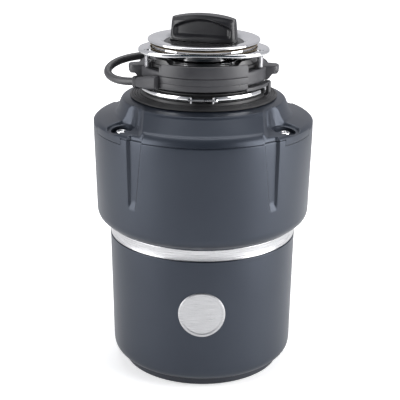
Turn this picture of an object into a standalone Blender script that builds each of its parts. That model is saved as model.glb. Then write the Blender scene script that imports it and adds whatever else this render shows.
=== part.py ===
"""Kitchen garbage disposal with a cover switch, as an assembly of separate pieces.

The origin is the centre of the base's underside. +Z is up, and the badge faces -Y.
Angles around the body are counted from the front (-Y) towards +X.
"""

import math

import bmesh
import bpy
from mathutils import Matrix, Vector

MM = 0.001
GAP = 0.3 * MM  # between pieces that touch
RUNNING_GAP = 0.5 * MM  # between pieces that turn or slide past each other
SMOOTH_ANGLE = math.radians(35)
SHELL_STEPS = 36  # sides of a large turned piece
PIECE_STEPS = 24  # sides of a middle-sized turned piece
SMALL_STEPS = 12  # sides of a small turned piece
CUT_PAST = 4 * MM  # how far a cutter runs past the wall that it cuts

# Base pan
BASE_R = 84.0 * MM
BASE_H = 8.6 * MM
BASE_FLOOR = 2.5 * MM
SPIGOT_H = 6.0 * MM
WRENCH_HOLE_R = 7.0 * MM

# Lower shell, and the bright band on its neck
UPPER_TOP_R = 113.2 * MM  # the widest radius, at the seam under the top cover
LOWER_TOP_R = UPPER_TOP_R - 15.3 * MM
LOWER_BOTTOM_R = LOWER_TOP_R - 1.9 * MM
LOWER_TOP_Z = 142.9 * MM
LOWER_ROUND_R = 12.0 * MM
LOWER_ROUND_DEG = 66
SHELL_WALL = 2.2 * MM
BAND_R = LOWER_TOP_R - 0.6 * MM
BAND_WALL = 1.2 * MM
BAND_H = 12.5 * MM
BADGE_R = 24.0 * MM
BADGE_Z = 85.8 * MM
BADGE_PROUD = 1.3 * MM
BADGE_SUNK = 1.4 * MM

# Upper shell
UPPER_MIDDLE_R = UPPER_TOP_R - 1.6 * MM
UPPER_BOTTOM_R = UPPER_TOP_R - 2.0 * MM
UPPER_TOP_Z = LOWER_TOP_Z + 121.3 * MM
UPPER_STRAIGHT_Z = UPPER_TOP_Z - 12.0 * MM  # the wall is upright above this
UPPER_MIDDLE_Z = UPPER_TOP_Z - 77.0 * MM  # and tapers to this
UPPER_ROUND_R = 12.0 * MM
UPPER_ROUND_DEG = 62
UPPER_LIP_R = BAND_R + 2.1 * MM
UPPER_WALL = 2.5 * MM
FLUTE_DEG = 37.3  # centre of each flute
FLUTE_TOP_W = 17.0 * MM
FLUTE_FOOT_W = 8.0 * MM
FLUTE_DEPTH = 3.8 * MM
FLUTE_WALL = 2.0 * MM  # behind each flute
FLUTE_FOOT_Z = UPPER_TOP_Z - 67.0 * MM

# Top cover
COVER_WALL = 2.5 * MM
PLATEAU_R = UPPER_TOP_R - 27.7 * MM
PLATEAU_RISE = 23.3 * MM  # above the seam with the upper shell
BLOCK_HALF_W = 60.0 * MM  # of the raised block at the front, and of the one at the back
BOSS_DEG = 54.5
BOSS_R = UPPER_TOP_R - 14.7 * MM
PAD_R = 14.2 * MM
PAD_Z = UPPER_TOP_Z + 3.2 * MM
WELL_R = 11.0 * MM
TAB_DROP = 6.2 * MM
TAB_HALF_DEG = 12.3
TAB_DEG = 57.3
BOLT_HEAD_R = 5.8 * MM
BOLT_SHANK_R = 2.6 * MM
BOLT_HEAD_H = 3.2 * MM
WELL_DEPTH = 4.4 * MM

# Grind chamber
CHAMBER_R = UPPER_TOP_R - 29.2 * MM
CHAMBER_WALL = 2.5 * MM
CHAMBER_FOOT_Z = LOWER_TOP_Z + 1.4 * MM
CHAMBER_FLANGE_R = LOWER_TOP_R - 5.9 * MM
CHAMBER_FLANGE_H = 5.0 * MM
CHAMBER_TOP_Z = UPPER_TOP_Z - 12.4 * MM
NECK_R = 57.3 * MM
COVER_NECK_R = NECK_R + 9.7 * MM  # hole in the top cover around the neck
NECK_Z = UPPER_TOP_Z + 46.6 * MM
OUTLET_Z = CHAMBER_FOOT_Z + 41.7 * MM
OUTLET_BORE_R = 18.5 * MM
OUTLET_WALL = 3.0 * MM
OUTLET_FACE_Y = UPPER_TOP_R - 2.6 * MM
OUTLET_FLANGE_R = 25.0 * MM
OUTLET_FLANGE_H = 4.0 * MM
SEAL_H = 2.2 * MM
INLET_DEG = 205.0
INLET_Z = CHAMBER_TOP_Z - 20.0 * MM
INLET_BORE_R = 8.5 * MM
INLET_WALL = 2.4 * MM
INLET_FACE_R = UPPER_TOP_R - 1.7 * MM
TUBE_ROOT = 0.6 * MM  # how far outside the chamber's bore the tubes start
FOAM_WALL_GAP = 1.2 * MM

# Grinding parts
SHREDDER_R = CHAMBER_R - CHAMBER_WALL - 0.7 * MM
SHREDDER_WALL = 5.5 * MM
SHREDDER_Z = CHAMBER_FOOT_Z + 48.0 * MM
SHREDDER_H = 22.0 * MM
SHREDDER_TEETH = 12
TURNTABLE_R = SHREDDER_R - SHREDDER_WALL - 1.5 * MM
TURNTABLE_Z = SHREDDER_Z + 1.0 * MM
TURNTABLE_H = 4.0 * MM
LUG_ORBIT_R = 48.0 * MM
LUG_L = 34.0 * MM
LUG_W = 15.0 * MM
LUG_H = 9.0 * MM
LUG_PIN_R = 3.0 * MM
DRAIN_HOLE_R = 3.0 * MM
NUT_R = 11.0 * MM
NUT_H = 7.0 * MM

# Motor
SHAFT_R = 6.0 * MM
SHAFT_FOOT_Z = 13.0 * MM
STATOR_R = 66.0 * MM
STATOR_BORE_R = 36.5 * MM
STATOR_Z = 50.0 * MM
STATOR_H = 55.0 * MM
ROTOR_GAP = 0.8 * MM
WINDING_OUTER_R = 57.0 * MM
WINDING_INNER_R = 41.0 * MM
WINDING_H = 15.0 * MM
BELL_Z = 16.0 * MM
BELL_R = 76.0 * MM
BELL_PLATE = 4.0 * MM
UPPER_BELL_R = LOWER_TOP_R - 7.9 * MM
UPPER_BELL_Z = LOWER_TOP_Z - 15.9 * MM
BEARING_R = 15.0 * MM
BEARING_H = 9.0 * MM
THROUGH_BOLT_ORBIT_R = STATOR_R + 3.2 * MM
THROUGH_BOLT_R = 2.5 * MM
CAPACITOR_R = 10.0 * MM
CAPACITOR_H = 58.0 * MM
CAPACITOR_ORBIT_R = 80.0 * MM

# Fittings in the base
RESET_X = 42.0 * MM
RESET_Y = -29.0 * MM
RESET_R = 4.5 * MM
WIRING_Y = 46.0 * MM
WIRING_W = 56.0 * MM
WIRING_D = 32.0 * MM
WIRING_LAP = 3.0 * MM  # of the cover over the edge of its opening
BUSHING_X = -44.0 * MM
BUSHING_R = 11.0 * MM
BUSHING_LIP = 2.0 * MM

# Sink mounting
THROAT_R = 40.5 * MM
THROAT_WALL = 1.6 * MM
GASKET_R = NECK_R + 4.7 * MM
GASKET_FOOT_R = GASKET_R + 13.5 * MM
GASKET_WAIST_R = GASKET_R - 2.4 * MM
GASKET_LIP_R = GASKET_WAIST_R
GASKET_TOP_Z = NECK_Z + 18.0 * MM
GASKET_THROAT_R = THROAT_R + 3.0 * MM
CLAMP_Z = NECK_Z - 14.4 * MM
CLAMP_H = 6.6 * MM
CLAMP_R = GASKET_R - 1.0 * MM
CLAMP_DEPTH = 4.2 * MM
CLAMP_GAP_DEG = 10.5
CLAMP_BOLT_DEGS = (-13.0, 9.5)  # its two ends
CLAMP_BOLT_R = 1.5 * MM
CLAMP_HEAD_R = 2.8 * MM
RING_Z = NECK_Z - 0.5 * MM
RING_H = 14.0 * MM
RING_WALL = 3.4 * MM
HOUSING_HALF_DEG = 38.5
HOUSING_R = GASKET_R + 8.0 * MM
HOUSING_FOOT_Z = NECK_Z - 3.0 * MM
HOUSING_TOP_Z = NECK_Z + 22.0 * MM
HOUSING_WALL = 2.0 * MM
HOUSING_COVER_H = 13.0 * MM
EAR_DEGS = (-79.0, 79.0, 180.0)
EAR_REACH = HOUSING_R + 7.0 * MM
EAR_W = 17.0 * MM
EAR_H = 9.0 * MM
EAR_Z = RING_Z + 5.5 * MM
RAMP_DEGS = (-45.0, 45.0, 180.0)
RAMP_HALF_DEG = 9.0
SENSOR_HALF_DEG = 9.0
ARM_END_DEG = 76.0
ARM_Z = NECK_Z - 5.5 * MM

# Flange and its clamping ring
FLANGE_R = 57.15 * MM
FLANGE_TOP_Z = NECK_Z + 38.2 * MM
FLANGE_LIP = 2.5 * MM
THROAT_FOOT_Z = NECK_Z + 10.0 * MM
FLANGE_BORE_R = THROAT_R + 2.5 * MM
SINK_GAP = 2.1 * MM  # room for the sink between the flange and the fibre gasket
FIBRE_R = FLANGE_R - 2.15 * MM
FIBRE_H = 0.8 * MM
BACKUP_R = FIBRE_R - 1.5 * MM
BACKUP_H = 1.0 * MM
CORNER_ORBIT_R = FLANGE_R - 26.15 * MM
CORNER_R = 39.0 * MM
CLAMP_RING_WALL = 1.6 * MM
CLAMP_RING_DROP = 3.6 * MM
SCREW_ORBIT_R = CORNER_ORBIT_R + CORNER_R - 6.0 * MM
SCREW_R = 3.4 * MM
SCREW_FOOT_Z = NECK_Z + 14.4 * MM
SCREW_DEGS = (-60.0, 60.0, 180.0)

# Stopper
STOPPER_R = THROAT_R + 0.1 * MM
STOPPER_DISC_TOP_Z = FLANGE_TOP_Z - 3.0 * MM
STOPPER_DISC_H = 3.0 * MM
STOPPER_SKIRT_R = THROAT_R - THROAT_WALL - 1.7 * MM
STOPPER_SKIRT_H = 14.0 * MM
GRIP_TURN_DEG = 17.0
GRIP_L = 70.0 * MM
GRIP_W = 25.0 * MM
GRIP_TOP_Z = FLANGE_TOP_Z + 23.4 * MM
MAGNET_R = 4.0 * MM
MAGNET_ORBIT_R = STOPPER_SKIRT_R - 10.6 * MM

# Switch cable in mm, heights from the top of the neck: from the boot, out in a loop, behind the
# mounting and down into the gland
CABLE_R = 4.0 * MM
CABLE_POINTS = (
    (-68.2, -23.6, -2.6),
    (-75.2, -19.4, -3.6),
    (-82.0, -14.8, -4.1),
    (-88.2, -9.2, -4.2),
    (-93.4, -3.0, -3.6),
    (-97.2, 3.6, -2.2),
    (-98.9, 10.6, -0.1),
    (-98.0, 17.4, 2.3),
    (-94.2, 23.4, 4.9),
    (-88.4, 28.2, 7.2),
    (-81.0, 32.6, 8.9),
    (-73.4, 37.2, 9.7),
    (-66.6, 43.2, 9.4),
    (-61.6, 50.6, 7.4),
    (-58.4, 58.2, 3.6),
    (-56.4, 65.2, -2.0),
    (-55.2, 70.4, -8.6),
    (-54.8, 72.0, -15.4),
)
GLAND_R = 6.0 * MM
GLAND_H = 6.0 * MM
GLAND_SHANK_R = 4.4 * MM
GLAND_SHANK_H = 12.0 * MM

SHELL_GLOSS = 0.42  # roughness of the satin slate and grey pieces
SLATE = (0.100, 0.112, 0.145)
BLACK = (0.012, 0.012, 0.013)
GREY_PLASTIC = (0.085, 0.085, 0.092)
STEEL = (0.62, 0.62, 0.63)
CASTING = (0.45, 0.45, 0.46)

collections = {}


def clear_scene():
    for item in list(bpy.data.objects):
        bpy.data.objects.remove(item, do_unlink=True)
    for name in ("garbage_disposal", "cutters"):
        collections[name] = bpy.data.collections.new(name)
        bpy.context.scene.collection.children.link(collections[name])


def material(name, color, roughness, metallic=0.0):
    made = bpy.data.materials.new(name)
    made.use_nodes = True
    shader = made.node_tree.nodes["Principled BSDF"]
    shader.inputs["Base Color"].default_value = (*color, 1.0)
    shader.inputs["Roughness"].default_value = roughness
    shader.inputs["Metallic"].default_value = metallic
    return made


def add(name, mesh, look=None, smooth=True):
    """A new object in the part's collection, or a hidden cutter where no look is given."""
    made = bpy.data.objects.new(name, mesh)
    if look is None:
        collections["cutters"].objects.link(made)
        made.hide_render = True
        made.display_type = "WIRE"
        return made
    collections["garbage_disposal"].objects.link(made)
    mesh.materials.append(material(name, *look))
    if smooth:
        mesh.shade_smooth()
        mesh.set_sharp_from_angle(angle=SMOOTH_ANGLE)
    return made


def around(radius, degrees, z=0.0):
    """The point at this radius and at this angle from the front, towards +X."""
    turn = math.radians(degrees)
    return Vector((radius * math.sin(turn), -radius * math.cos(turn), z))


def arc(centre_r, centre_z, radius, start_deg, end_deg, count=3):
    """Profile points of an arc in the radius-height plane."""
    turns = (start_deg + (end_deg - start_deg) * i / count for i in range(count + 1))
    return [
        (centre_r + radius * math.cos(math.radians(t)), centre_z + radius * math.sin(math.radians(t)))
        for t in turns
    ]


def turned(name, profile, look=None, steps=PIECE_STEPS, open_ends=False):
    """A closed (radius, height) outline, spun about Z. It runs down the outer side first.

    With open_ends the outline starts and ends on the axis, and the piece is solid there.
    """
    mesh = bpy.data.meshes.new(name)
    count = len(profile)
    links = [(i, i + 1) for i in range(count - 1)]
    if not open_ends:
        links.append((count - 1, 0))
    mesh.from_pydata([(r, 0.0, z) for r, z in profile], links, [])
    made = add(name, mesh, look, smooth=False)
    screw = made.modifiers.new("spin", "SCREW")
    screw.steps = steps
    screw.render_steps = steps
    screw.use_merge_vertices = True
    screw.merge_threshold = 0.00001
    screw.use_smooth_shade = False
    return made


def rod(name, radius, low, high, look=None, steps=SMALL_STEPS, tip_radius=None):
    """A cylinder or a cone from one end point to the other."""
    low, high = Vector(low), Vector(high)
    mesh = bpy.data.meshes.new(name)
    solid = bmesh.new()
    bmesh.ops.create_cone(
        solid,
        cap_ends=True,
        segments=steps,
        radius1=radius,
        radius2=radius if tip_radius is None else tip_radius,
        depth=(high - low).length,
    )
    solid.to_mesh(mesh)
    solid.free()
    made = add(name, mesh, look)
    made.location = (low + high) / 2
    made.rotation_euler = (high - low).to_track_quat("Z", "Y").to_euler()
    return made


def block(name, size, centre, look=None, turn_deg=0.0, bevel=0.0):
    """A box, turned about Z, with rounded edges where a bevel is given."""
    mesh = bpy.data.meshes.new(name)
    solid = bmesh.new()
    bmesh.ops.create_cube(solid, size=1.0, matrix=Matrix.Diagonal((*size, 1.0)))
    if bevel:
        bmesh.ops.bevel(solid, geom=solid.edges[:], offset=bevel, segments=2, profile=0.5, affect="EDGES")
    solid.to_mesh(mesh)
    solid.free()
    made = add(name, mesh, look)
    made.location = centre
    made.rotation_euler = (0.0, 0.0, math.radians(turn_deg))
    return made


def sector(name, profile, start_deg, end_deg, look=None, steps=16):
    """A (radius, height) outline swept part of the way round Z, closed at both ends."""
    mesh = bpy.data.meshes.new(name)
    solid = bmesh.new()
    rings = []
    for i in range(steps + 1):
        degrees = start_deg + (end_deg - start_deg) * i / steps
        rings.append([solid.verts.new(around(r, degrees, z)) for r, z in profile])
    for here, there in zip(rings, rings[1:]):
        for i in range(len(profile)):
            k = (i + 1) % len(profile)
            solid.faces.new((here[i], here[k], there[k], there[i]))
    solid.faces.new(rings[0])
    solid.faces.new(reversed(rings[-1]))
    bmesh.ops.recalc_face_normals(solid, faces=solid.faces[:])
    solid.to_mesh(mesh)
    solid.free()
    return add(name, mesh, look)


def plate(name, outline, low_z, high_z, look=None):
    """A flat outline of (x, y) points, given a thickness."""
    mesh = bpy.data.meshes.new(name)
    solid = bmesh.new()
    face = solid.faces.new([solid.verts.new((x, y, low_z)) for x, y in outline])
    raised = bmesh.ops.extrude_face_region(solid, geom=[face])
    lifted = [item for item in raised["geom"] if isinstance(item, bmesh.types.BMVert)]
    bmesh.ops.translate(solid, verts=lifted, vec=(0.0, 0.0, high_z - low_z))
    bmesh.ops.recalc_face_normals(solid, faces=solid.faces[:])
    solid.to_mesh(mesh)
    solid.free()
    return add(name, mesh, look)


def boolean(target, tools, operation):
    for tool in tools:
        step = target.modifiers.new(tool.name, "BOOLEAN")
        step.operation = operation
        step.solver = "EXACT"
        step.object = tool


def cut(target, *tools):
    boolean(target, tools, "DIFFERENCE")


def join(target, *tools):
    boolean(target, tools, "UNION")


def offset_ring(outer_r, wall, low_z, high_z):
    """The outline of a plain ring."""
    return [(outer_r, high_z), (outer_r, low_z), (outer_r - wall, low_z), (outer_r - wall, high_z)]


# ---------------------------------------------------------------- base and shells


def base_pan():
    spigot_r = BASE_R - 2.0 * MM
    inner_r = spigot_r - 2.4 * MM
    pan = turned(
        "base_pan",
        [
            (spigot_r, BASE_H + SPIGOT_H),
            (spigot_r, BASE_H),
            (BASE_R, BASE_H),
            (BASE_R, 1.0 * MM),
            (BASE_R - 1.0 * MM, 0.0),
            (WRENCH_HOLE_R, 0.0),
            (WRENCH_HOLE_R, BASE_FLOOR),
            (inner_r, BASE_FLOOR),
            (inner_r, BASE_H + SPIGOT_H),
        ],
        (SLATE, 0.5),
        SHELL_STEPS,
    )
    low, high = -CUT_PAST, BASE_FLOOR + CUT_PAST
    reset = (RESET_X, RESET_Y)
    bushing = (BUSHING_X, WIRING_Y)
    cut(
        pan,
        rod("cut_reset", RESET_R + RUNNING_GAP, (*reset, low), (*reset, high)),
        rod("cut_bushing", BUSHING_R - BUSHING_LIP, (*bushing, low), (*bushing, high), steps=16),
        block(
            "cut_wiring",
            (WIRING_W - 2 * WIRING_LAP, WIRING_D - 2 * WIRING_LAP, 2 * CUT_PAST),
            (WIRING_W / 4, WIRING_Y, BASE_FLOOR / 2),
        ),
    )


def lower_shell():
    neck_r = BAND_R - BAND_WALL - GAP
    neck_top = LOWER_TOP_Z + BAND_H + 1.8 * MM
    round_z = BASE_H + GAP + LOWER_ROUND_R * math.sin(math.radians(LOWER_ROUND_DEG))
    centre_r = LOWER_BOTTOM_R - LOWER_ROUND_R
    hole_r = BASE_R - 2.0 * MM + GAP
    inner = LOWER_ROUND_R - SHELL_WALL
    profile = [(neck_r, neck_top), (neck_r, LOWER_TOP_Z), (LOWER_TOP_R, LOWER_TOP_Z)]
    profile += arc(centre_r, round_z, LOWER_ROUND_R, 0, -LOWER_ROUND_DEG)
    profile += [(hole_r, BASE_H + GAP), (hole_r, BASE_H + GAP + SHELL_WALL)]
    profile += arc(centre_r, round_z, inner, -LOWER_ROUND_DEG, 0)
    profile += [
        (LOWER_TOP_R - SHELL_WALL, LOWER_TOP_Z - 4.0 * MM),
        (neck_r - SHELL_WALL, LOWER_TOP_Z - 1.5 * MM),
        (neck_r - SHELL_WALL, neck_top),
    ]
    shell = turned("lower_shell", profile, (SLATE, SHELL_GLOSS), SHELL_STEPS)
    slope = (LOWER_TOP_R - LOWER_BOTTOM_R) / (LOWER_TOP_Z - round_z)
    front = LOWER_BOTTOM_R + slope * (BADGE_Z - round_z)
    back = front - BADGE_SUNK
    cut(shell, badge_disc("cut_badge", back - GAP, front + CUT_PAST, BADGE_R + GAP))
    badge_disc("badge", back, front + BADGE_PROUD, BADGE_R, (STEEL, 0.3, 1.0))


def badge_disc(name, back, face, radius, look=None):
    """A disc that follows the shell's curve: a cylinder across the wall, kept between two radii."""
    steps = PIECE_STEPS
    mesh = bpy.data.meshes.new(name)
    solid = bmesh.new()
    rings = []
    for depth in (back, face):
        for share in (1.0, 0.5):
            ring = []
            for i in range(steps):
                turn = 2 * math.pi * i / steps
                across = radius * share * math.cos(turn)
                up = BADGE_Z + radius * share * math.sin(turn)
                ring.append(solid.verts.new(around(depth, math.degrees(across / depth), up)))
            rings.append(ring)
    middle_back = solid.verts.new(around(back, 0, BADGE_Z))
    middle_face = solid.verts.new(around(face, 0, BADGE_Z))
    for here, there in ((0, 1), (2, 3), (0, 2)):
        for i in range(steps):
            k = (i + 1) % steps
            solid.faces.new((rings[here][i], rings[here][k], rings[there][k], rings[there][i]))
    for ring, middle in ((rings[1], middle_back), (rings[3], middle_face)):
        for i in range(steps):
            solid.faces.new((ring[i], ring[(i + 1) % steps], middle))
    bmesh.ops.recalc_face_normals(solid, faces=solid.faces[:])
    solid.to_mesh(mesh)
    solid.free()
    return add(name, mesh, look)


def trim_band():
    low = LOWER_TOP_Z + GAP
    return turned(
        "trim_band", offset_ring(BAND_R, BAND_WALL, low, low + BAND_H), (STEEL, 0.28, 1.0), SHELL_STEPS
    )


def upper_shell():
    band_top = LOWER_TOP_Z + GAP + BAND_H
    foot_z = band_top + 0.5 * MM
    hole_r = BAND_R - BAND_WALL - GAP + RUNNING_GAP
    round_z = foot_z + 4.3 * MM + UPPER_ROUND_R * math.sin(math.radians(UPPER_ROUND_DEG))
    centre_r = UPPER_BOTTOM_R - UPPER_ROUND_R
    inner = UPPER_ROUND_R - UPPER_WALL
    profile = [
        (UPPER_TOP_R, UPPER_TOP_Z),
        (UPPER_TOP_R, UPPER_STRAIGHT_Z),
        (UPPER_MIDDLE_R, UPPER_MIDDLE_Z),
    ]
    profile += arc(centre_r, round_z, UPPER_ROUND_R, 0, -UPPER_ROUND_DEG)
    profile += [(UPPER_LIP_R, foot_z + 1.4 * MM), (UPPER_LIP_R - 0.6 * MM, foot_z)]
    profile += [(hole_r, foot_z), (hole_r, foot_z + 3.0 * MM)]
    profile += arc(centre_r, round_z, inner, -UPPER_ROUND_DEG, 0)
    profile += [
        (UPPER_MIDDLE_R - UPPER_WALL, UPPER_MIDDLE_Z),
        (UPPER_TOP_R - UPPER_WALL, UPPER_STRAIGHT_Z),
        (UPPER_TOP_R - UPPER_WALL, UPPER_TOP_Z),
    ]
    shell = turned("upper_shell", profile, (SLATE, SHELL_GLOSS), SHELL_STEPS)
    reach = UPPER_TOP_R + 10.0 * MM
    outlet_hole = OUTLET_FLANGE_R + 1.5 * MM
    inlet_hole = INLET_BORE_R + INLET_WALL + 1.5 * MM
    cutters = [
        rod(
            "cut_outlet_hole",
            outlet_hole,
            (0.0, UPPER_TOP_R - 30.0 * MM, OUTLET_Z),
            (0.0, reach, OUTLET_Z),
            steps=PIECE_STEPS,
        ),
        rod(
            "cut_inlet_hole",
            inlet_hole,
            around(UPPER_TOP_R - 30.0 * MM, INLET_DEG, INLET_Z),
            around(reach, INLET_DEG, INLET_Z),
        ),
    ]
    tab_z = UPPER_TOP_Z - TAB_DROP
    notch = [
        (reach, UPPER_TOP_Z + CUT_PAST),
        (reach, tab_z),
        (UPPER_TOP_R - 20.0 * MM, tab_z),
        (UPPER_TOP_R - 20.0 * MM, UPPER_TOP_Z + CUT_PAST),
    ]
    for number, degrees in enumerate(corner_degrees(TAB_DEG)):
        low, high = degrees - TAB_HALF_DEG, degrees + TAB_HALF_DEG
        cutters.append(sector(f"cut_notch_{number}", notch, low, high, steps=6))
    ribs = []
    for number, degrees in enumerate(corner_degrees(FLUTE_DEG)):
        ribs.append(
            flute(f"flute_wall_{number}", degrees, FLUTE_WALL, -1.2 * MM, UPPER_TOP_Z - 0.4 * MM)
        )
        cutters.append(flute(f"cut_flute_{number}", degrees))
    join(shell, *ribs)
    cut(shell, *cutters)


def corner_degrees(degrees):
    """This angle on all four corners of the body."""
    return (-degrees, degrees, 180.0 - degrees, degrees - 180.0)


def flute(name, degrees, grow=0.0, outer=8.0 * MM, top_z=UPPER_TOP_Z + 9.0 * MM):
    """The wedge of a flute, which narrows towards its foot, or the wall behind it where it is grown."""
    mesh = bpy.data.meshes.new(name)
    solid = bmesh.new()
    levels = (
        (top_z, FLUTE_TOP_W * 1.12, UPPER_TOP_R),
        (UPPER_TOP_Z - 30.0 * MM, FLUTE_TOP_W * 0.82, UPPER_TOP_R - 0.5 * MM),
        (FLUTE_FOOT_Z - grow, FLUTE_FOOT_W, UPPER_MIDDLE_R),
    )
    facing = math.radians(degrees)
    along = Vector((math.cos(facing), math.sin(facing), 0.0))
    out = around(1.0, degrees)
    rings = []
    for z, width, radius in levels:
        middle = around(radius, degrees, z)
        half = width / 2 + grow
        floor = half * half / (2 * radius) - FLUTE_DEPTH - grow
        corners = ((-half * 1.15, outer), (half * 1.15, outer), (half * 0.72, floor), (-half * 0.72, floor))
        rings.append([solid.verts.new(middle + along * a + out * b) for a, b in corners])
    for here, there in zip(rings, rings[1:]):
        for i in range(4):
            k = (i + 1) % 4
            solid.faces.new((here[i], here[k], there[k], there[i]))
    solid.faces.new(rings[0])
    solid.faces.new(rings[-1])
    bmesh.ops.recalc_face_normals(solid, faces=solid.faces[:])
    solid.to_mesh(mesh)
    solid.free()
    return add(name, mesh)


def raised_block(name, profile, half_width, facing, look=None, steps=10):
    """A (radius, height) outline carried across between two flat sides, facing -Y (-1) or +Y (1)."""
    mesh = bpy.data.meshes.new(name)
    solid = bmesh.new()
    rings = []
    for i in range(steps + 1):
        x = half_width * (2 * i / steps - 1)
        rings.append([solid.verts.new((x, facing * math.sqrt(r * r - x * x), z)) for r, z in profile])
    for here, there in zip(rings, rings[1:]):
        for i in range(len(profile)):
            k = (i + 1) % len(profile)
            solid.faces.new((here[i], here[k], there[k], there[i]))
    solid.faces.new(rings[0])
    solid.faces.new(rings[-1])
    bmesh.ops.recalc_face_normals(solid, faces=solid.faces[:])
    solid.to_mesh(mesh)
    solid.free()
    return add(name, mesh, look)


def top_cover():
    seam = UPPER_TOP_Z + GAP
    plateau = seam + PLATEAU_RISE
    foot = UPPER_TOP_Z - TAB_DROP + GAP
    under = seam - 2.4 * MM
    profile = [
        (COVER_NECK_R, plateau + 2.6 * MM),
        (COVER_NECK_R + 0.38 * (PLATEAU_R - COVER_NECK_R), plateau + 2.0 * MM),
        (PLATEAU_R - 1.0 * MM, plateau),
        (PLATEAU_R + 3.5 * MM, seam + 9.2 * MM),
        (PLATEAU_R + 5.5 * MM, seam + 7.4 * MM),
        (UPPER_TOP_R - 3.2 * MM, seam + 3.4 * MM),
        (UPPER_TOP_R - 0.8 * MM, seam + 1.6 * MM),
        (UPPER_TOP_R, seam),
        (UPPER_TOP_R, foot),
        (UPPER_TOP_R - UPPER_WALL, foot),
        (UPPER_TOP_R - UPPER_WALL, under),
        (PLATEAU_R + 2.0 * MM, under),
        (PLATEAU_R - 3.4 * MM, plateau - 2.6 * MM),
        (COVER_NECK_R, plateau - 0.2 * MM),
    ]
    cover = turned("top_cover", profile, (SLATE, SHELL_GLOSS), SHELL_STEPS)
    raised = [
        (PLATEAU_R - 3.5 * MM, plateau - 1.2 * MM),
        (PLATEAU_R + 1.0 * MM, plateau - 0.2 * MM),
        (PLATEAU_R + 2.8 * MM, plateau - 1.8 * MM),
        (UPPER_TOP_R - 8.0 * MM, seam + 8.9 * MM),
        (UPPER_TOP_R - 6.0 * MM, seam + 8.5 * MM),
        (UPPER_TOP_R - 2.6 * MM, seam + 5.8 * MM),
        (UPPER_TOP_R - 0.6 * MM, seam + 2.6 * MM),
        (UPPER_TOP_R - 0.9 * MM, seam + 0.6 * MM),
        (UPPER_TOP_R - 4.0 * MM, seam + 0.4 * MM),
        (PLATEAU_R + 5.5 * MM, seam + 2.0 * MM),
        (PLATEAU_R + 2.2 * MM, seam + 5.0 * MM),
    ]
    hollow = [
        (PLATEAU_R - 6.0 * MM, plateau - 5.4 * MM),
        (PLATEAU_R + 0.9 * MM, plateau - 3.6 * MM),
        (UPPER_TOP_R - 9.4 * MM, seam + 5.9 * MM),
        (UPPER_TOP_R - 4.8 * MM, seam + 3.0 * MM),
        (UPPER_TOP_R - 4.8 * MM, under - CUT_PAST),
        (PLATEAU_R - 6.0 * MM, under - CUT_PAST),
    ]
    blocks = []
    cutters = []
    for facing in (-1.0, 1.0):
        blocks.append(raised_block(f"block_{facing:.0f}", raised, BLOCK_HALF_W, facing))
        inside = BLOCK_HALF_W - COVER_WALL
        cutters.append(raised_block(f"cut_block_{facing:.0f}", hollow, inside, facing))
    above = plateau + 12.0 * MM
    reach = UPPER_TOP_R + 6.0 * MM
    skirt_hole = [
        (reach, seam),
        (reach, foot - CUT_PAST),
        (UPPER_TOP_R - 8.0 * MM, foot - CUT_PAST),
        (UPPER_TOP_R - 8.0 * MM, seam),
    ]
    tabs = sorted(d % 360 for d in corner_degrees(TAB_DEG))
    for number, low in enumerate(tabs):
        after = tabs[(number + 1) % 4] + (360 if number == 3 else 0)
        low, after = low + TAB_HALF_DEG - 0.25, after - TAB_HALF_DEG + 0.25
        cutters.append(sector(f"cut_skirt_{number}", skirt_hole, low, after, steps=5))
    wells = []
    holes = []
    for number, degrees in enumerate(corner_degrees(BOSS_DEG)):
        spot = around(BOSS_R, degrees)
        floor_z = PAD_Z - WELL_DEPTH
        cutters.append(rod(f"cut_pad_{number}", PAD_R, top_of(spot, PAD_Z), top_of(spot, above), steps=20))
        low, high = top_of(spot, floor_z - 2.0 * MM), top_of(spot, under + 1.0 * MM)
        wells.append(rod(f"boss_{number}", WELL_R + 1.6 * MM, low, high, steps=20))
        holes.append(rod(f"cut_well_{number}", WELL_R, top_of(spot, floor_z), top_of(spot, above), steps=20))
        low, high = top_of(spot, floor_z - 8.0 * MM), top_of(spot, above)
        holes.append(rod(f"cut_shank_{number}", BOLT_SHANK_R + GAP, low, high))
    cutters += [flute(f"cut_cover_flute_{n}", d) for n, d in enumerate(corner_degrees(FLUTE_DEG))]
    join(cover, *blocks)
    cut(cover, *cutters)
    join(cover, *wells)
    cut(cover, *holes)
    return cover


def top_of(spot, z):
    return Vector((spot.x, spot.y, z))


def cover_bolts():
    floor_z = PAD_Z - WELL_DEPTH
    for number, degrees in enumerate(corner_degrees(BOSS_DEG)):
        spot = around(BOSS_R, degrees)
        head_low = floor_z + GAP
        bolt = turned(
            f"cover_bolt_{number + 1}",
            [
                (0.0, head_low + BOLT_HEAD_H - 2.4 * MM),
                (BOLT_HEAD_R * 0.45, head_low + BOLT_HEAD_H - 2.4 * MM),
                (BOLT_HEAD_R * 0.45, head_low + BOLT_HEAD_H),
                (BOLT_HEAD_R * 0.8, head_low + BOLT_HEAD_H),
                (BOLT_HEAD_R, head_low + BOLT_HEAD_H - 1.2 * MM),
                (BOLT_HEAD_R, head_low),
                (BOLT_SHANK_R, head_low),
                (BOLT_SHANK_R, head_low - 12.0 * MM),
                (0.0, head_low - 12.0 * MM),
            ],
            (STEEL, 0.15, 1.0),
            SMALL_STEPS,
            open_ends=True,
        )
        bolt.location = (spot.x, spot.y, 0.0)


# ---------------------------------------------------------------- grind chamber


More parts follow.
